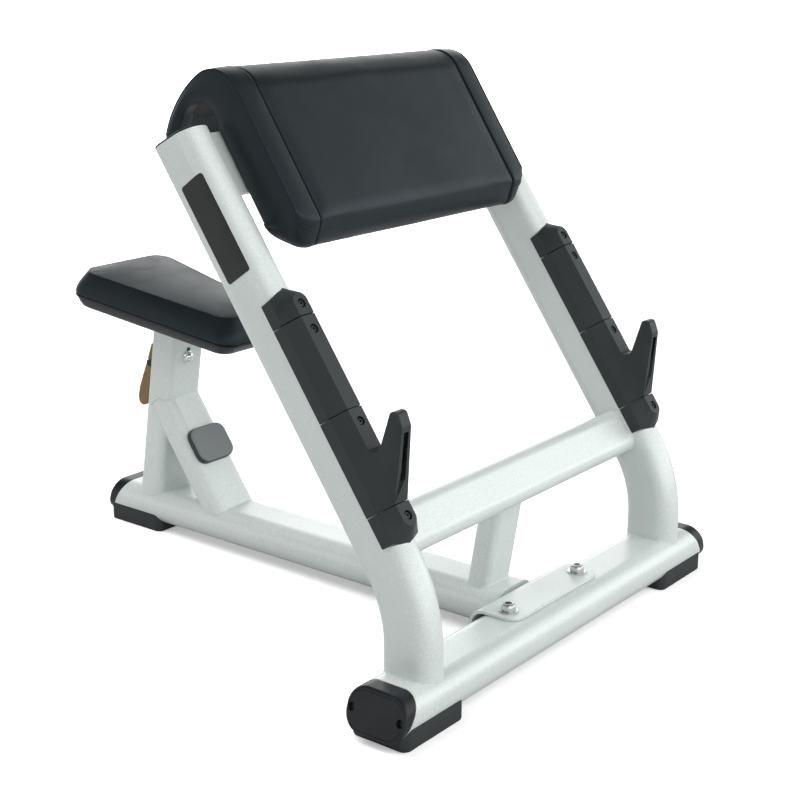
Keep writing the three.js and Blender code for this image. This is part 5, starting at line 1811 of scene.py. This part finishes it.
@dataclass
class ArmPad:
    """The padded arm rest: vinyl over foam on a bent board, with an end panel at each side."""

    half_width: float = 305.5
    seam_across: float = 260.0
    seam_hold: float = 3.2
    thickness: float = 70.0
    face_height: float = 228.0
    shoulder: float = 60.0
    roll_radius: float = 185.0
    roll_end: float = 48.0
    lip_thickness: float = 21.4
    arch_back: float = 104.5
    arch_up: float = 218.5
    arch_radius: float = 41.5
    arch_start: float = 213.8
    arch_end: float = 50.0
    arch_split: float = 130.0
    nose_back: float = 36.0
    nose_drop: float = 28.0
    heel_rise: float = 3.0
    heel_span: float = 22.0
    bottom_corner: float = 36.0
    corner_reach: float = 76.0
    fullness: float = 3.6
    crown: float = 1.8
    edge_round: float = 5.0
    end_dome: float = 4.0
    end_columns: int = 7
    board_thickness: float = 9.0
    board_half_width: float = 282.0
    board_bottom: float = 24.0
    board_proud: float = 1.5
    board_edge: float = 0.8
    board_short: float = 10.0
    plate_inner: float = 232.0
    plate_thickness: float = 6.0
    plate_step: float = 4.0
    plate_low: float = 90.0
    plate_mid: float = 125.0
    plate_high: float = 196.0
    bracket_edge: float = 0.8
    bracket_end: float = 12.0
    bolt_across: float = 268.0
    bolt_low: float = 108.0
    bolt_high: float = 170.0
    bolt_lift: float = 0.2
    piping: Bead = Bead(1.0, 0.04, 2.2, 2.4)
    thread: Bead = Bead(0.5, 0.12, 3.6, 1.2)
    thread_sink: float = 1.4

    def build(self) -> None:
        """Makes the cushion with its piping, the board, the brackets and their bolts."""
        self.build_cushion()
        self.build_piping()
        self.build_board()
        self.build_brackets()

    @property
    def roll_centre(self) -> tuple[float, float]:
        """The centre of the roll's outer curve."""
        return self.shoulder, self.face_height + self.shoulder - self.roll_radius

    @cached_property
    def lines(self) -> tuple[Outline, Outline]:
        """The section's outer and inner lines, from the lip's end to the heel, matched in pairs.

        Returns:
            Both lines.
        """
        x, y = self.roll_centre
        half = self.lip_thickness / 2
        middle = self.roll_radius - half
        turn = math.radians(self.roll_end) + half / middle
        cx, cy = x + middle * math.cos(turn), y + middle * math.sin(turn)
        lip_out = arc(cx, cy, half, turn - QUARTER, turn, 8)
        lip_in = arc(cx, cy, half, turn - QUARTER, turn - math.pi, 8)
        roll = arc(x, y, self.roll_radius, turn, QUARTER, 12)
        shoulder = arc(self.shoulder, self.face_height, self.shoulder, QUARTER, math.pi, 12)
        low = filleted([
            (0.0, self.face_height, 0.0),
            (0.0, 0.0, 7.0),
            (self.nose_back, -self.nose_drop, 14.0),
            (self.thickness, self.heel_rise, 20.0),
            (self.thickness, self.face_height, 0.0),
        ], 8)[1:-1]
        end = math.radians(self.arch_end)
        ax = self.arch_back + self.arch_radius * math.cos(end)
        ay = self.arch_up + self.arch_radius * math.sin(end)
        meet = math.atan2(ay - y, ax - x)
        under = arc(x, y, self.roll_radius - self.lip_thickness, turn, meet, 6)[1:]
        split = math.radians(self.arch_split)
        start = math.radians(self.arch_start)
        arch = arc(self.arch_back, self.arch_up, self.arch_radius, end, split, 12)[1:]
        arch_back = arc(self.arch_back, self.arch_up, self.arch_radius, split, start, 12)
        heel = low[-1]
        mid = (self.thickness, heel[1] + self.heel_span)
        outer = joined([(lip_out, 5), (roll, 16), (shoulder, 12), ([shoulder[-1], low[0]], 22),
                        (low, 20)])
        inner = joined([(lip_in, 5), ([lip_in[-1], *under, *arch], 16), (arch_back, 12),
                        ([arch_back[-1], mid], 22), ([mid, heel], 20)])
        return outer, inner[:-1]

    def stations(self) -> list[tuple[float, float, float]]:
        """Places across the right half: x, how far the vinyl stands out, and the back's inset.

        Returns:
            The places, from the middle out.
        """
        seam = self.seam_across
        flat = self.half_width - self.edge_round
        full = [0.0, *range(13, 240, 13), 243.0, 249.0]
        panel = [(x, self.crown * (1.0 - (x / seam) ** 2)) for x in full]
        groove = [(-6.0, 0.5), (-4.0, 0.2), (-2.6, -0.6), (-1.4, -2.4), (-0.6, -4.6), (0.0, -5.4),
                  (0.6, -4.4), (1.4, -1.6), (2.4, 0.6), (4.0, 1.3), (6.0, 1.2), (10.0, 0.9)]
        panel += [(seam + place, out) for place, out in groove]
        end = [(276.0, 0.7), (280.5, 0.5), (284.0, 0.4), (290.0, 0.1), (296.0, -0.4), (flat, -1.2)]
        rows = [(x, self.fullness + out, self.board_proud if x < self.board_half_width else 0.0)
                for x, out in [*panel, *end]]
        for i in range(1, 5):
            angle = QUARTER * i / 4
            drop = -self.edge_round * (1 - math.cos(angle))
            rows.append((flat + self.edge_round * math.sin(angle), rows[-1][1] + drop / 3, -drop))
        return rows

    def raised(self, x: float, up: float) -> float:
        """A height on the section, raised near the ends to round the bottom corners.

        Args:
            x: The place across the pad, in mm.
            up: The height on the section.

        Returns:
            The height there.
        """
        beyond = abs(x) - (self.half_width - self.bottom_corner)
        if beyond <= 0 or up >= self.corner_reach:
            return up
        rise = self.bottom_corner - math.sqrt(max(self.bottom_corner**2 - beyond**2, 0.0))
        span = self.corner_reach + self.nose_drop
        return up + rise * (self.corner_reach - up) / span

    def section(self, x: float, out: float, inset: float) -> Ring:
        """One closed ring of the cushion, in the pad's frame.

        Args:
            x: The place across the pad, in mm.
            out: How far the vinyl stands out.
            inset: How far the back stands in.

        Returns:
            The ring.
        """
        outer, inner = self.lines
        last = len(outer) - 1
        pushes = [min(out, out * min(k, last - k) / 8) for k in range(len(outer))]
        pushes += [-inset] * (len(inner) - 1)
        closed = pushed([*outer, *reversed(inner[1:])], pushes)
        return [Vector((x, depth, self.raised(x, up))) for depth, up in closed]

    def build_cushion(self) -> None:
        """The vinyl cover: rings across the pad, closed by a domed face at each end."""
        half = self.stations()
        rows = [(-x, out, inset) for x, out, inset in reversed(half[1:])] + half
        rings = [self.section(*row) for row in rows]
        count = len(rings[0])
        outer_count = len(self.lines[0])
        points = [p for ring_here in rings for p in ring_here]
        faces = bands(len(rings), count)
        held = [self.hold(row[0], i < outer_count, i / outer_count) for row in rows for i in range(count)]
        for first, sign in ((0, -1), (len(points) - count, 1)):
            self.close_end(points, faces, held, first, count, sign)
        solid = Solid([PAD_FRAME @ p for p in points], faces)
        upholster("arm_pad_cover", solid, held, 4.0, 2.0, ["arm_pad_cushion"])

    def hold(self, x: float, outside: bool, share: float) -> float:
        """How firmly a point of the cover stays put while it is filled.

        Args:
            x: The place across the pad, in mm.
            outside: Whether it is on the outer line.
            share: How far along that line.

        Returns:
            The hold, from 0 to 1.
        """
        on_edge = abs(x) > self.half_width - self.edge_round - 1.0
        by_seam = abs(abs(x) - self.seam_across) < self.seam_hold
        by_end = share < 0.06 or share > 0.97
        return 1.0 if not outside or on_edge or by_end or by_seam else 0.0

    def close_end(
        self,
        points: list[Vector],
        faces: list[Sequence[int]],
        held: list[float],
        first: int,
        count: int,
        sign: int,
    ) -> None:
        """Closes one end with rows of quads that bulge outwards.

        Args:
            points: The cushion's points, which gain the end's.
            faces: Its faces, which gain the end's.
            held: How firmly each point stays, which gains the end's.
            first: The index of the end ring's first point.
            count: How many points the ring has.
            sign: Which end it is along x.
        """
        columns = self.end_columns
        last = len(self.lines[0]) - 1
        grid: list[list[int]] = []
        for k in range(last + 1):
            a = first + k
            b = first + (count - k) % count
            if k in (0, last):
                grid.append([a])
                continue
            row = [a]
            for c in range(1, columns):
                share = c / columns
                fade = math.sin(math.pi * min(k, last - k) / last) ** 0.5
                bulge = self.end_dome * math.sin(math.pi * share) ** 0.7 * fade
                place = points[a].lerp(points[b], share) + Vector((sign * bulge, 0.0, 0.0))
                row.append(len(points))
                points.append(place)
                held.append(1.0)
            grid.append([*row, b])
        for near, far in zip(grid, grid[1:]):
            for c in range(columns):
                corners = [near[min(c, len(near) - 1)], near[min(c + 1, len(near) - 1)],
                           far[min(c + 1, len(far) - 1)], far[min(c, len(far) - 1)]]
                unique = list(dict.fromkeys(corners))
                if len(unique) > 2:
                    faces.append(unique if sign < 0 else unique[::-1])

    def edge_line(self, sign: int) -> Line:
        """The line along an end's outer edge, round its bottom corner and back to the seam.

        Args:
            sign: 1 for the right end, -1 for the left.

        Returns:
            The line, open.
        """
        rows = [row for row in self.stations() if row[0] > self.seam_across + 1.0]
        crease = len(self.lines[0]) - 18
        down = self.section(*rows[-3])[5:crease]
        inwards = [self.section(*row)[crease] for row in reversed(rows[:-2])]
        return [PAD_FRAME @ Vector((sign * p.x, p.y, p.z)) for p in [*down, *inwards]], False

    def build_piping(self) -> None:
        """Fine piping along both ends' outer edges and in both seams."""
        edges = [self.edge_line(sign) for sign in (-1, 1)]
        lay_beads("arm_pad_piping", edges, self.piping, PAD_VINYL)
        seam = offset(self.lines[0], -self.thread_sink)[8:-8]
        threads = [([PAD_FRAME @ Vector((sign * self.seam_across, y, z)) for y, z in seam], False)
                   for sign in (-1, 1)]
        lay_beads("arm_pad_thread", threads, self.thread, THREAD)

    def build_board(self) -> None:
        """The bent board that backs the cushion and lines its arch."""
        start = math.radians(self.arch_start)
        end = math.radians(self.arch_end + self.board_short)
        outer = self.arch_radius + self.board_thickness
        front = self.thickness - self.board_thickness
        start_outer = math.pi + math.acos((self.arch_back - front) / outer)
        outline = tidy([
            (front, self.board_bottom),
            (self.thickness, self.board_bottom),
            *arc(self.arch_back, self.arch_up, self.arch_radius, start, end, 40),
            *arc(self.arch_back, self.arch_up, outer, end, start_outer, 40),
        ])
        half = self.board_half_width
        board = across(outline, -half, half, PAD_FRAME)
        board.bevel(self.board_edge)
        board.finish("arm_pad_backing", BOARD_BLACK, ["arm_pad_board"])

    def build_brackets(self) -> None:
        """The plates that carry the pad from the uprights, and their bolts."""
        front = self.thickness + GAP
        back = front + self.plate_thickness
        step = back + self.plate_step
        profile = [(front, self.plate_low), (step, self.plate_low), (step, self.plate_mid),
                   (back, self.plate_mid + self.plate_step), (back, self.plate_high),
                   (front, self.plate_high)]
        reach = UPRIGHT_ACROSS - self.bracket_end
        places, names = [], []
        for side in Side:
            low, high = sorted((side.value * self.plate_inner, side.value * reach))
            name = f"{side.word}_pad_bracket"
            plate = across(profile, low, high, PAD_FRAME).bevel(self.bracket_edge)
            plate.finish(f"{name}_plate", SILVER, [name])
            for word, height, seat in (("low", self.bolt_low, step), ("high", self.bolt_high, back)):
                place = (side.value * self.bolt_across, seat + self.bolt_lift, height)
                places.append(spot(PAD_FRAME, place, (0.0, 1.0, 0.0)))
                names.append(f"{side.word}_{word}_pad_bolt")
        set_fasteners("pad_bolts", hexagon_head(7.5, 6.0), places, ZINC, names)


def hexagon_head(radius: float, height: float) -> Solid:
    """A hexagon bolt head with a round flange, standing on z.

    Args:
        radius: The hexagon's reach.
        height: Its height.

    Returns:
        The head.
    """
    head = prism(hexagon(radius), -0.5, height)
    bevelled, rim = radius * 1.1, radius * 1.25
    head.boolean(turned([(0.0, -1.0), (bevelled, -1.0), (bevelled, height * 0.7),
                         (radius * 0.86, height), (0.0, height)], 36), "INTERSECT")
    return head.join(turned([(0.0, -0.6), (rim, -0.6), (rim, 1.0), (radius * 1.18, 1.3),
                             (0.0, 1.3)], 40))


@dataclass
class Seat:
    """The padded seat on its moulded pan, with the post that carries it."""

    front: float = 178.0
    front_half_width: float = 61.6
    rear: float = 169.7
    rear_half_width: float = 107.2
    corner: float = 30.0
    side_out: float = 15.0
    front_out: float = 23.0
    bottom: float = 352.0
    pan_top: float = 376.0
    crease: float = 381.7
    crown: float = 4.0
    screw_back: float = 62.0
    screw_head: tuple[float, float, float, float] = (7.0, 5.0, 3.2, 2.6)
    plate_bottom: float = 345.7
    post_wall: float = 3.0
    sleeve_wall: float = 2.2
    inner_wall: float = 3.0
    inner_bottom: float = 90.0
    hole_radius: float = 6.3
    hole_pitch: float = 20.0
    travel: float = 120.0
    pin_height: float = 280.0
    slot_height: float = 287.0
    slot_width: float = 10.6
    slot_beyond: float = 11.2
    piping: Bead = Bead(1.1, 0.05, 2.4, 2.4)
    piping_height: float = 421.0
    corner_steps: int = 10

    def build(self) -> None:
        """Makes the seat's pieces."""
        self.build_pan()
        self.build_cushion()
        self.build_inner_post()
        self.build_screws()

    def half_line(self, share: float, corner_share: float) -> Outline:
        """The right half of the seat's outline from above, front to rear.

        Args:
            share: How much of the outward reach it has.
            corner_share: How much of the corners' radius it has.

        Returns:
            The points, from the middle of the front to the middle of the rear.
        """
        side, front = self.side_out * share, self.front_out * share
        radius = self.corner * corner_share
        x0, y0 = self.front_half_width + side, -self.front - front
        x1, y1 = self.rear_half_width + side, self.rear + side
        steps = self.corner_steps
        whole = filleted([(x0, y0, radius), (x1, y1, radius), (-x1, y1, radius), (-x0, y0, radius)],
                         steps)
        first, second = whole[:steps + 1], whole[steps + 1:2 * steps + 2]
        return joined([([(0.0, y0), first[0]], 5), (first, 9), ([first[-1], second[0]], 22),
                       (second, 9), ([second[-1], (0.0, y1)], 8)])

    def outline(self, share: float, corner_share: float = 1.0) -> Outline:
        """The whole outline, anticlockwise from the middle of the front."""
        right = self.half_line(share, corner_share)
        return [*right, *[(-x, y) for x, y in reversed(right[1:-1])]]

    def build_pan(self) -> None:
        """The moulded pan under the cushion, with a lip round its top."""
        low, top = self.bottom, self.pan_top
        stations = [(0.02, low + 0.6, 0.8), (0.08, low, 0.8), (0.2, low + 1.0, 0.85),
                    (0.35, low + 3.6, 0.9), (0.6, low + 10.0, 0.95), (0.78, low + 16.0, 1.0),
                    (0.84, top - 5.2, 1.0), (0.95, top - 4.8, 1.0), (0.985, top - 3.8, 1.0),
                    (0.985, top - 1.2, 1.0), (0.95, top - 0.2, 1.0), (0.88, top, 1.0)]
        rings = [ring(self.outline(share, corner), height, POST_FRAME)
                 for share, height, corner in stations]
        loft(rings).finish("seat_pan_shell", CAP_BLACK, ["seat_pan"], Body.SEAT)

    def build_cushion(self) -> None:
        """The vinyl cover: sloping sides, a sewn edge and a crowned top."""
        low = self.pan_top + GAP
        walls = [(0.84, low), (0.93, low + 0.3), (0.985, low + 1.6), (1.0, low + 3.4),
                 (1.0, self.crease), (0.98, 384.5), (0.93, 388.5), (0.84, 393.0), (0.72, 398.0),
                 (0.57, 403.0), (0.42, 408.0), (0.28, 412.5), (0.15, 416.4), (0.06, 418.9),
                 (0.0, 420.2), (-0.05, 420.6), (-0.075, 420.9), (-0.1, 421.6), (-0.16, 422.0),
                 (-0.26, 422.25)]
        rings = [ring(self.outline(share), height) for share, height in walls]
        edge_share, edge_height = walls[-1]
        spine_front, spine_rear = -self.front + 62.0, self.rear - 82.0
        for share in (0.97, 0.92, 0.86, 0.78, 0.69, 0.59, 0.48, 0.37, 0.26, 0.16, 0.07):
            line = []
            for x, y in self.outline(edge_share):
                centre = min(max(y, spine_front), spine_rear)
                line.append((x * share, centre + (y - centre) * share))
            rise = self.crown * math.sqrt(max(1.0 - share**2, 0.0)) * 0.7
            rings.append(ring(line, edge_height + rise))
        count = len(rings[0])
        points = [POST_FRAME @ p for ring_here in rings for p in ring_here]
        faces = [range(count)[::-1], *bands(len(rings), count)]
        last = len(points) - count
        for i in range(count // 2):
            corners = [last + i, last + i + 1, last + count - i - 1, last + (count - i) % count]
            faces.append(list(dict.fromkeys(corners)))
        held = []
        for number in range(len(rings)):
            firm = number < 4 or 13 <= number <= 17
            held += [1.0 if firm else 0.0] * count
        upholster("seat_cover", Solid(points, faces), held, 3.0, 3.5, ["seat_cushion"], Body.SEAT)
        seam = ring(self.outline(-0.06), self.piping_height, POST_FRAME)
        lay_beads("seat_piping", [(seam, True)], self.piping, PAD_VINYL, Body.SEAT)

    def build_inner_post(self) -> None:
        """The sliding post, with its row of lock holes behind and its guide slot in front."""
        outline = offset(POST.outline(), -(self.post_wall + GAP + self.sleeve_wall + GAP))
        post = prism(outline, self.inner_bottom, self.plate_bottom - GAP, POST_FRAME)
        post.cut(prism(offset(outline, -self.inner_wall), 0.0, self.plate_bottom + CUT_OVERRUN,
                       POST_FRAME))
        for number in range(int(self.travel / self.hole_pitch) + 1):
            up = self.pin_height - number * self.hole_pitch
            place = POST_FRAME @ Matrix.Translation((0.0, 0.0, up)) @ BACKWARDS
            post.cut(rod(self.hole_radius, 0.0, POST.depth, place, 28))
        width = self.slot_width
        slot = rounded_box(width, self.travel + self.slot_beyond, width / 2 - 0.01, 10)
        place = facing(POST_FRAME, 0.0, self.slot_height - self.travel / 2)
        post.cut(prism(slot, 0.0, POST.depth, place))
        post.finish("inner_post_tube", CHROME, ["inner_seat_post"], Body.SEAT)

    def build_screws(self) -> None:
        """The two screws that hold the pan, heads down."""
        places = [spot(POST_FRAME, (0.0, sign * self.screw_back, self.plate_bottom), (0.0, 0.0, -1.0))
                  for sign in (-1, 1)]
        screw = button_head(*self.screw_head)
        names = ["front_seat_screw", "rear_seat_screw"]
        set_fasteners("seat_screws", screw, places, ZINC, names, Body.SEAT)


@dataclass
class SeatLock:
    """The sprung lever behind the seat post."""

    pivot_back: float = 59.0
    pivot_height: float = 247.0
    pivot_radius: float = 2.8
    pivot_reach: float = 34.0
    half_width: float = 12.0
    wall: float = 3.0
    back_wall: float = 4.0
    belly: float = 8.5
    claw_front: float = 43.8
    claw_back: float = 47.9
    claw_top: float = 284.0
    claw_bottom: float = 264.0
    top: float = 288.0
    grip_end: float = 152.0
    stem: float = 4.6
    edge: float = 0.7

    def build(self) -> None:
        """Makes the lever."""
        back, height, front = self.pivot_back, self.pivot_height, self.claw_front
        outline = filleted([
            (front, height - 6.5, 3.0),
            (back - 7.5, height - 8.0, 0.0),
            (back - 5.0, 218.0, 0.0),
            (back - 2.0, 187.0, 4.0),
            (back, self.grip_end + 6.0, 5.0),
            (back + 9.0, self.grip_end, 6.0),
            (back + 21.0, self.grip_end + 2.0, 8.0),
            (back + 25.0, 167.0, 10.0),
            (back + 23.5, 187.0, 20.0),
            (back + 16.0, 218.0, 20.0),
            (back + self.belly, height, 12.0),
            (back, self.top - 2.0, 3.0),
            (back - 2.0, self.top, 2.0),
            (front, self.top, 2.0),
        ], 8)
        inside = self.half_width - self.wall
        beyond = self.half_width + CUT_OVERRUN
        rear = back + self.belly - self.back_wall
        channel = [(front - CUT_OVERRUN, height - 12.0), (rear, height - 12.0), (rear, height),
                   (back - self.back_wall - 1.0, self.top + CUT_OVERRUN),
                   (front - CUT_OVERRUN, self.top + CUT_OVERRUN)]
        notch = [(rear - 1.0, height - 5.5), (back + 12.0, height - 5.5), (back + 12.0, height + 5.5),
                 (rear - 1.0, height + 5.5)]
        claw = [(front, self.claw_bottom), (self.claw_back, self.claw_bottom),
                (self.claw_back, self.claw_top), (front, self.claw_top)]
        lever = across(outline, -self.half_width, self.half_width, POST_FRAME)
        lever.cut(across(channel, -inside, inside, POST_FRAME))
        lever.cut(across(notch, -beyond, beyond, POST_FRAME))
        for low, high in ((-inside - 0.5, -self.stem), (self.stem, inside + 0.5)):
            lever.join(across(claw, low, high, POST_FRAME))
        pivot = POST_FRAME @ Matrix.Translation((0.0, back, height)) @ Matrix.Rotation(QUARTER, 4, "Y")
        lever.cut(rod(self.pivot_radius, -self.pivot_reach, self.pivot_reach, pivot, 28))
        lever.bevel(self.edge)
        lever.finish("lever_pressing", LEVER_PAINT, ["release_lever"], Body.LEVER)


NODE_FINISHES = {
    "post_sleeve": CAP_BLACK,
    "lock_pin_barrel": SILVER,
    "locking_pin": CHROME,
    "lever_bracket": BLACK_PAINT,
    "lever_pivot_pin": BLACK_PAINT,
    "lever_spring": SPRING,
    "seat_plate": SILVER,
}


def dress_nodes() -> None:
    """Gives every CAD node that stays in view its finish."""
    for name, finish in NODE_FINISHES.items():
        obj = frame["nodes"][name]
        if not obj.material_slots:
            obj.data.materials.append(None)
        for slot in obj.material_slots:
            slot.material = finish.material()
        LOG.info("%s: kept, in %s", name, finish.name)


# Studio


@dataclass
class Studio:
    """The pale floor, the soft lights and the camera."""

    camera_place: Place = (-2.0296, -1.77205, 1.1173)
    yaw: float = 51.82
    pitch: float = -16.24
    lens: float = 69.8
    sensor: float = 36.0
    floor_size: float = 14.0
    floor_solid: float = 1.2
    floor_gone: float = 5.5
    horizon: float = 0.82
    zenith: float = 0.12
    softboxes: tuple[tuple[Place, float, float, float], ...] = (
        ((-0.2, -0.9, 0.38), 0.6, 0.95, 1.0),
        ((0.755, -0.49, 0.25), 0.86, 0.99, 1.15),
        ((0.66, 0.72, 0.2), 0.75, 0.97, 1.4),
    )
    lights: tuple[tuple[str, Place, float, float], ...] = (
        ("key", (0.6, -3.0, 2.3), 2.8, 62.0),
        ("overhead", (-0.6, 1.5, 3.2), 3.2, 140.0),
    )
    lit_place: Place = (0.0, 0.0, 0.45)

    def build(self) -> None:
        """Makes the studio."""
        self.build_floor()
        self.build_world()
        for name, place, size, power in self.lights:
            self.build_light(name, place, size, power)
        self.build_camera()
        bpy.context.scene.view_settings.view_transform = "Standard"

    def build_floor(self) -> None:
        """A plain pale floor that fades into the white surround."""
        half = self.floor_size / 2
        mesh = bpy.data.meshes.new("studio_floor")
        corners = [(-half, -half, 0.0), (half, -half, 0.0), (half, half, 0.0), (-half, half, 0.0)]
        mesh.from_pydata(corners, [], [(0, 1, 2, 3)])
        paint = bpy.data.materials.new("studio_paint")
        tree = blank_tree(paint)
        away = tree.out("ShaderNodeVectorMath", {0: tree.place()}, output="Value", operation="LENGTH")
        pale = tree.out("ShaderNodeBsdfPrincipled", {
            "Base Color": (0.95, 0.95, 0.95, 1.0),
            "Roughness": 0.9,
            "Specular IOR Level": 0.1,
            "Emission Color": (1.0, 1.0, 1.0, 1.0),
            "Emission Strength": 0.3,
            "Alpha": tree.ramp(away, self.floor_solid, self.floor_gone, 1.0, 0.0),
        })
        dim = tree.out("ShaderNodeBsdfDiffuse", {"Color": (0.52, 0.52, 0.52, 1.0)})
        to_eye = tree.out("ShaderNodeLightPath", output="Is Camera Ray")
        shader = tree.out("ShaderNodeMixShader", {0: to_eye, 1: dim, 2: pale})
        tree.node("ShaderNodeOutputMaterial", {"Surface": shader})
        mesh.materials.append(paint)
        linked("studio_floor", mesh)

    def build_world(self) -> None:
        """A surround that is white to the eye and dimmer as a light, with three soft boxes."""
        world = bpy.data.worlds.new("studio_world")
        tree = blank_tree(world)
        seen = tree.out("ShaderNodeLightPath", output="Is Camera Ray")
        way = tree.out("ShaderNodeTexCoord", output="Generated")
        upward = tree.out("ShaderNodeSeparateXYZ", {0: way}, output="Z")
        light = tree.ramp(upward, 0.1, 0.6, self.horizon, self.zenith)
        for aim, edge, core, strength in self.softboxes:
            facing_it = tree.out("ShaderNodeVectorMath", {0: way, 1: Vector(aim).normalized()},
                                 output="Value", operation="DOT_PRODUCT")
            light = tree.maths("ADD", light, tree.ramp(facing_it, edge, core, 0.0, strength))
        shader = tree.out("ShaderNodeBackground", {"Color": (1.0, 1.0, 1.0, 1.0),
                                                   "Strength": tree.maths("ADD", light, seen)})
        tree.node("ShaderNodeOutputWorld", {"Surface": shader})
        bpy.context.scene.world = world

    def build_light(self, name: str, place: Place, size: float, power: float) -> None:
        """A square soft light that faces the bench and that gloss doesn't mirror.

        Args:
            name: The light's name.
            place: Where it hangs, in metres.
            size: Its side, in metres.
            power: Its power, in watts.
        """
        data = bpy.data.lights.new(name, "AREA")
        data.shape = "SQUARE"
        data.size = size
        data.energy = power
        lamp = linked(name, data)
        lamp.visible_glossy = False
        aim = Vector(self.lit_place) - Vector(place)
        lamp.matrix_world = Matrix.Translation(place) @ aim.to_track_quat("-Z", "Y").to_matrix().to_4x4()

    def build_camera(self) -> None:
        """The camera at the photograph's viewing angle."""
        data = bpy.data.cameras.new("studio_camera")
        data.lens = self.lens
        data.sensor_width = self.sensor
        camera = linked("studio_camera", data)
        camera.location = self.camera_place
        camera.rotation_euler = (math.radians(90.0 + self.pitch), 0.0, -math.radians(self.yaw))
        bpy.context.scene.camera = camera


def main() -> None:
    """Builds the studio and the bench."""
    logging.basicConfig(level=logging.INFO, format="%(message)s")
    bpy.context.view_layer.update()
    Studio().build()
    for assembly in (Base(), Rack(), Frame(), ArmPad(), Seat(), SeatLock()):
        LOG.info("building %s", type(assembly).__name__)
        assembly.build()
    dress_nodes()


if __name__ == "__main__":
    main()
